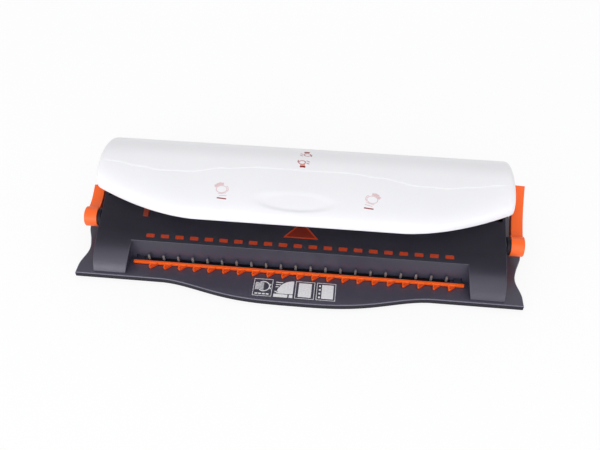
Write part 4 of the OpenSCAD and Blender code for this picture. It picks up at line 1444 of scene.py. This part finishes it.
@dataclass
class CoverPictograms(Assembly):
    """Thin printed hands where the cover is pressed, and a small sign at its rear."""

    cover: PressCover
    left_hand: Point = (-73.5, -11.0)
    right_hand: Point = (66.5, -11.5)
    tilt: float = -9.0
    line: float = 0.7
    bar_line: float = 1.26
    finger_line: float = 2.24
    thick: float = 0.08
    fine: float = 0.6
    oval_steps: int = 24
    palm: Point = (5.0, 3.9)
    thumb: tuple[Point, ...] = ((4.2, 3.9), (5.7, 2.6), (6.4, -0.4), (5.0, -2.6))
    wrist: tuple[Point, ...] = ((-2.6, -5.0), (1.2, -4.6), (5.0, -3.6))
    cuff: tuple[Point, ...] = ((-1.4, -6.9), (5.6, -6.3))
    bar: tuple[Point, ...] = ((-3.0, -9.3), (5.8, -9.9))
    fingers: tuple[tuple[Point, ...], ...] = (
        ((-5.0, 1.9), (-6.6, 4.6)), ((-3.5, 3.3), (-4.6, 6.5)),
        ((-1.8, 4.2), (-2.4, 7.4)), ((0.2, 4.5), (0.2, 7.3)))
    sign_y: float = 36.0
    sign_line: float = 1.05
    sign_broad: float = 2.38
    sign_palm: Point = (-2.0, 29.0)
    sign_reach: Point = (3.2, 2.7)
    sign_lines: tuple[tuple[Point, ...], ...] = (
        ((2.0, 31.9), (5.4, 30.0)), ((2.2, 28.4), (5.0, 27.0)), ((-5.9, 32.4), (-6.1, 28.6)))
    sign_fill: tuple[Point, ...] = ((-3.6, 25.2), (1.2, 25.2))
    sign_bar: tuple[Point, ...] = ((-3.6, 22.9), (1.6, 22.9))
    parts: list[Piece] = field(default_factory=list)

    def stroke(self, path: Path, width: float, ink: Finish) -> None:
        """Adds a printed line, cut fine enough to follow the cover.

        Args:
            path: its corners in millimetres.
            width: its width in millimetres.
            ink: its finish.
        """
        dense: list[Point] = []
        for (x0, y0), (x1, y1) in zip(path, path[1:]):
            steps = max(2, int(math.hypot(x1 - x0, y1 - y0) / self.fine))
            dense += [(x0 + (x1 - x0) * i / steps, y0 + (y1 - y0) * i / steps)
                      for i in range(steps)]
        self.parts.append(ribbon("stroke", [*dense, path[-1]], width, self.thick))
        dress(self.parts[-1], ink)

    def oval(self, at: Point, reach: Point) -> list[Point]:
        """Gives the points of an oval from its middle and half sizes."""
        return arc(at, reach, 0.0, 360.0, self.oval_steps)

    def hand(self, at: Point, side: float, tilt: float) -> None:
        """Draws a pressing hand.

        Args:
            at: middle of its palm in millimetres.
            side: 1 with the fingers to the left, -1 mirrored.
            tilt: how far it leans, in degrees.
        """
        pale, dark = self.palette.pale_ink, self.palette.bar_ink
        outlines = (self.oval((0.0, 0.0), self.palm), self.thumb, self.wrist, self.cuff)
        strokes = [(path, self.line, pale) for path in outlines] + [(self.bar, self.bar_line, dark)]
        strokes += [(finger, self.finger_line, pale) for finger in self.fingers]
        lean = Matrix.Rotation(math.radians(tilt), 2)
        for path, width, ink in strokes:
            spots = [Vector(at) + lean @ Vector((side * x, y)) for x, y in path]
            self.stroke([tuple(spot) for spot in spots], width, ink)

    def sign(self, turn: float) -> None:
        """Draws one half of the rear sign.

        Args:
            turn: 1 as drawn, -1 turned by half a turn about the middle of the sign.
        """
        palette = self.palette
        lines = (self.oval(self.sign_palm, self.sign_reach), *self.sign_lines)
        strokes = [(path, self.sign_line, palette.sign_ink) for path in lines]
        strokes += [(self.sign_fill, self.sign_broad, palette.rose_ink),
                    (self.sign_bar, self.sign_broad, palette.deep_ink)]
        for path, width, ink in strokes:
            turned = [(x * turn, self.sign_y + (y - self.sign_y) * turn) for x, y in path]
            self.stroke(turned, width, ink)

    def build(self) -> None:
        """Draws both hands and the rear sign and drapes them on the cover."""
        self.hand(self.left_hand, 1.0, 0.0)
        self.hand(self.right_hand, -1.0, self.tilt)
        for turn in (1.0, -1.0):
            self.sign(turn)
        self.piece = joined("cover_pictograms", self.parts)
        draped(self.piece, self.cover.height)

    def finish(self) -> None:
        """Ties the signs to the cover."""
        ride(self.piece, Body.COVER, Slot.ORANGE)


@dataclass
class ReturnSprings(Assembly):
    """The two return springs, which on the machine shorten as the punch bar comes down."""

    way: Place = (0.0, -0.34202014, 0.93969262)
    travel: float = 6.0
    flat_to: float = 0.2
    sharp_from: float = 65.0

    def build(self) -> None:
        """Copies both coils as one piece."""
        self.piece = copied_node("return_springs", "spring_coils", self.flat_to)
        smooth(self.piece, self.sharp_from)

    def finish(self) -> None:
        """Dresses the coils, ties them to the chassis and gives them a mesh of their own."""
        dress(self.piece, self.palette.bright)
        ride(self.piece, Body.CHASSIS, Slot.BRIGHT, "return_springs")
        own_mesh(self.piece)


@dataclass
class InnerWorks:
    """The CAD nodes that keep their own shape and only get a finish."""

    palette: Palette

    def finish(self) -> None:
        """Assigns each remaining node the material of its slot."""
        palette = self.palette
        finishes = {
            palette.anthracite: ("chip_tray",),
            # the edge stop takes the dark red that paints it in shade
            palette.shaded_stop_red: ("edge_stop",),
            palette.tine_steel: ("tine_plate",),
            palette.bright: ("idler_pins", "die_plate", "guide_plate", "guide_posts", "hinge_pins",
                             "punch_pins", "lever_shaft"),
            palette.nylon: ("shaft_bushes", "press_pads", "left_pinion", "right_pinion",
                            "left_idler", "right_idler"),
            palette.rubber: ("rubber_feet",),
            palette.zinc: ("base_screws", "left_frame", "right_frame", "frame_screws",
                           "left_gear_bracket", "right_gear_bracket", "bracket_screws",
                           "tine_screws", "throat_stop", "plate_screws", "left_hinge_bracket",
                           "right_hinge_bracket", "hinge_screws", "punch_bar", "lever_screws"),
        }
        for material, nodes in finishes.items():
            for node in nodes:
                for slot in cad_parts[node].material_slots:
                    slot.material = material
                LOG.info("%s: finished in %s", node, material.name)


# Studio


def aimed(name: str, data: bpy.types.ID, place: Vector, target: Vector) -> Piece:
    """Puts a lamp or a camera in the scene.

    Args:
        name: its name.
        data: the lamp or camera.
        place: where it stands, in metres.
        target: what it looks at.

    Returns:
        The new object.
    """
    obj = linked(name, data)
    obj.location = place
    obj.rotation_euler = (target - place).to_track_quat("-Z", "Y").to_euler()
    return obj


@dataclass(frozen=True)
class SoftBox:
    """A soft lamp that looks at a point."""

    name: str
    place: Place
    target: Place
    size: Point
    power: float

    def build(self) -> None:
        """Adds the lamp."""
        data = bpy.data.lights.new(self.name, "AREA")
        data.shape = "RECTANGLE"
        data.size, data.size_y = self.size
        data.energy = self.power
        aimed(self.name, data, Vector(self.place), Vector(self.target))


@dataclass
class Studio:
    """The pale floor, the soft light and the camera of the photograph."""

    aim: Place = (-0.0026, 0.014, 0.0102)
    azimuth: float = math.radians(5.6)
    elevation: float = math.radians(46.09)
    distance: float = 0.6828
    lens: float = 40.12
    sensor: float = 36.0
    ambient: float = 0.75
    horizon: float = 0.6
    ceiling: float = 0.08
    ceiling_range: Point = (0.05, 0.5)
    floor_half: float = 4.0
    floor_z: float = -0.0002
    floor_paint: Colour = (0.86, 0.86, 0.87)
    floor_seen: float = 0.86
    floor_mirrored: float = 0.0
    lamps: tuple[SoftBox, ...] = (
        SoftBox("key_box", (-1.0, -1.35, 0.36), (0.0, 0.0, 0.03), (2.0, 0.6), 10.8),
        SoftBox("fill_box", (1.05, -1.3, 0.40), (0.0, 0.0, 0.05), (2.0, 0.6), 5.7),
        SoftBox("rear_box", (0.0, 1.0, 1.0), (0.0, 0.0, 0.05), (1.6, 0.8), 3.4),
        SoftBox("front_box", (0.0, -0.92, 0.95), (0.0, 0.0, 0.03), (1.6, 0.9), 4.2),
    )

    @staticmethod
    def emptied(owner: bpy.types.ID) -> NodeSheet:
        """Empties the nodes of a new world or material.

        Args:
            owner: the world or material.

        Returns:
            Its node sheet.
        """
        owner.use_nodes = True
        owner.node_tree.nodes.clear()
        return NodeSheet(owner.node_tree)

    def build_world(self) -> None:
        """Sets a white surround that mirrors as a darker ceiling and lights less than it shows."""
        world = bpy.context.scene.world = bpy.data.worlds.new("studio_surround")
        sheet = self.emptied(world)
        up = sheet.add("SeparateXYZ", sheet.add("TexCoord").outputs["Generated"]).outputs["Z"]
        fade = sheet.ranged(up, self.horizon, self.ceiling, *self.ceiling_range)
        level = sheet.maths("MAXIMUM", fade, sheet.by_ray(1.0, 0.0))
        sheet.close("OutputWorld", sheet.by_ray(1.0, 1.0),
                    sheet.add("Background", Color=WHITE, Strength=self.ambient),
                    sheet.add("Background", Color=WHITE, Strength=level))

    def build_floor(self) -> None:
        """Lays a pale floor that looks white and keeps the shadow."""
        put_down()
        bpy.ops.mesh.primitive_plane_add(size=2 * self.floor_half,
                                         location=(0.0, 0.0, self.floor_z))
        floor = fresh("studio_floor")
        material = bpy.data.materials.new("pale_floor")
        sheet = self.emptied(material)
        sheet.close("OutputMaterial", sheet.by_ray(self.floor_seen, self.floor_mirrored),
                    sheet.add("BsdfDiffuse", Color=self.floor_paint),
                    sheet.add("Emission", Color=WHITE))
        floor.data.materials.append(material)

    def build_camera(self) -> None:
        """Sets the camera at the photograph's view."""
        level = math.cos(self.elevation)
        way = Vector((math.sin(self.azimuth) * level, -math.cos(self.azimuth) * level,
                      math.sin(self.elevation)))
        data = bpy.data.cameras.new("photo_camera")
        data.sensor_fit = "HORIZONTAL"
        data.sensor_width = self.sensor
        data.lens = self.lens
        aim = Vector(self.aim)
        bpy.context.scene.camera = aimed("photo_camera", data, aim + way * self.distance, aim)

    def build(self) -> None:
        """Builds the whole studio."""
        bpy.context.scene.view_settings.view_transform = "Standard"
        self.build_camera()
        self.build_world()
        self.build_floor()
        for lamp in self.lamps:
            lamp.build()


def main() -> None:
    """Builds the pieces in order."""
    logging.basicConfig(level=logging.INFO, format="%(name)s: %(message)s")
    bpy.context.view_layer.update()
    Studio().build()
    palette = Palette()
    cover = PressCover(palette)
    assemblies = (BasePlate(palette), BodyShell(palette), cover, SideLevers(palette),
                  CombSlider(palette), ShelfMarks(palette), DeckPictograms(palette),
                  CoverPictograms(palette, cover), ReturnSprings(palette))
    for assembly in assemblies:
        assembly.build()
        assembly.finish()
    InnerWorks(palette).finish()
    put_down()


if __name__ == "__main__":
    main()
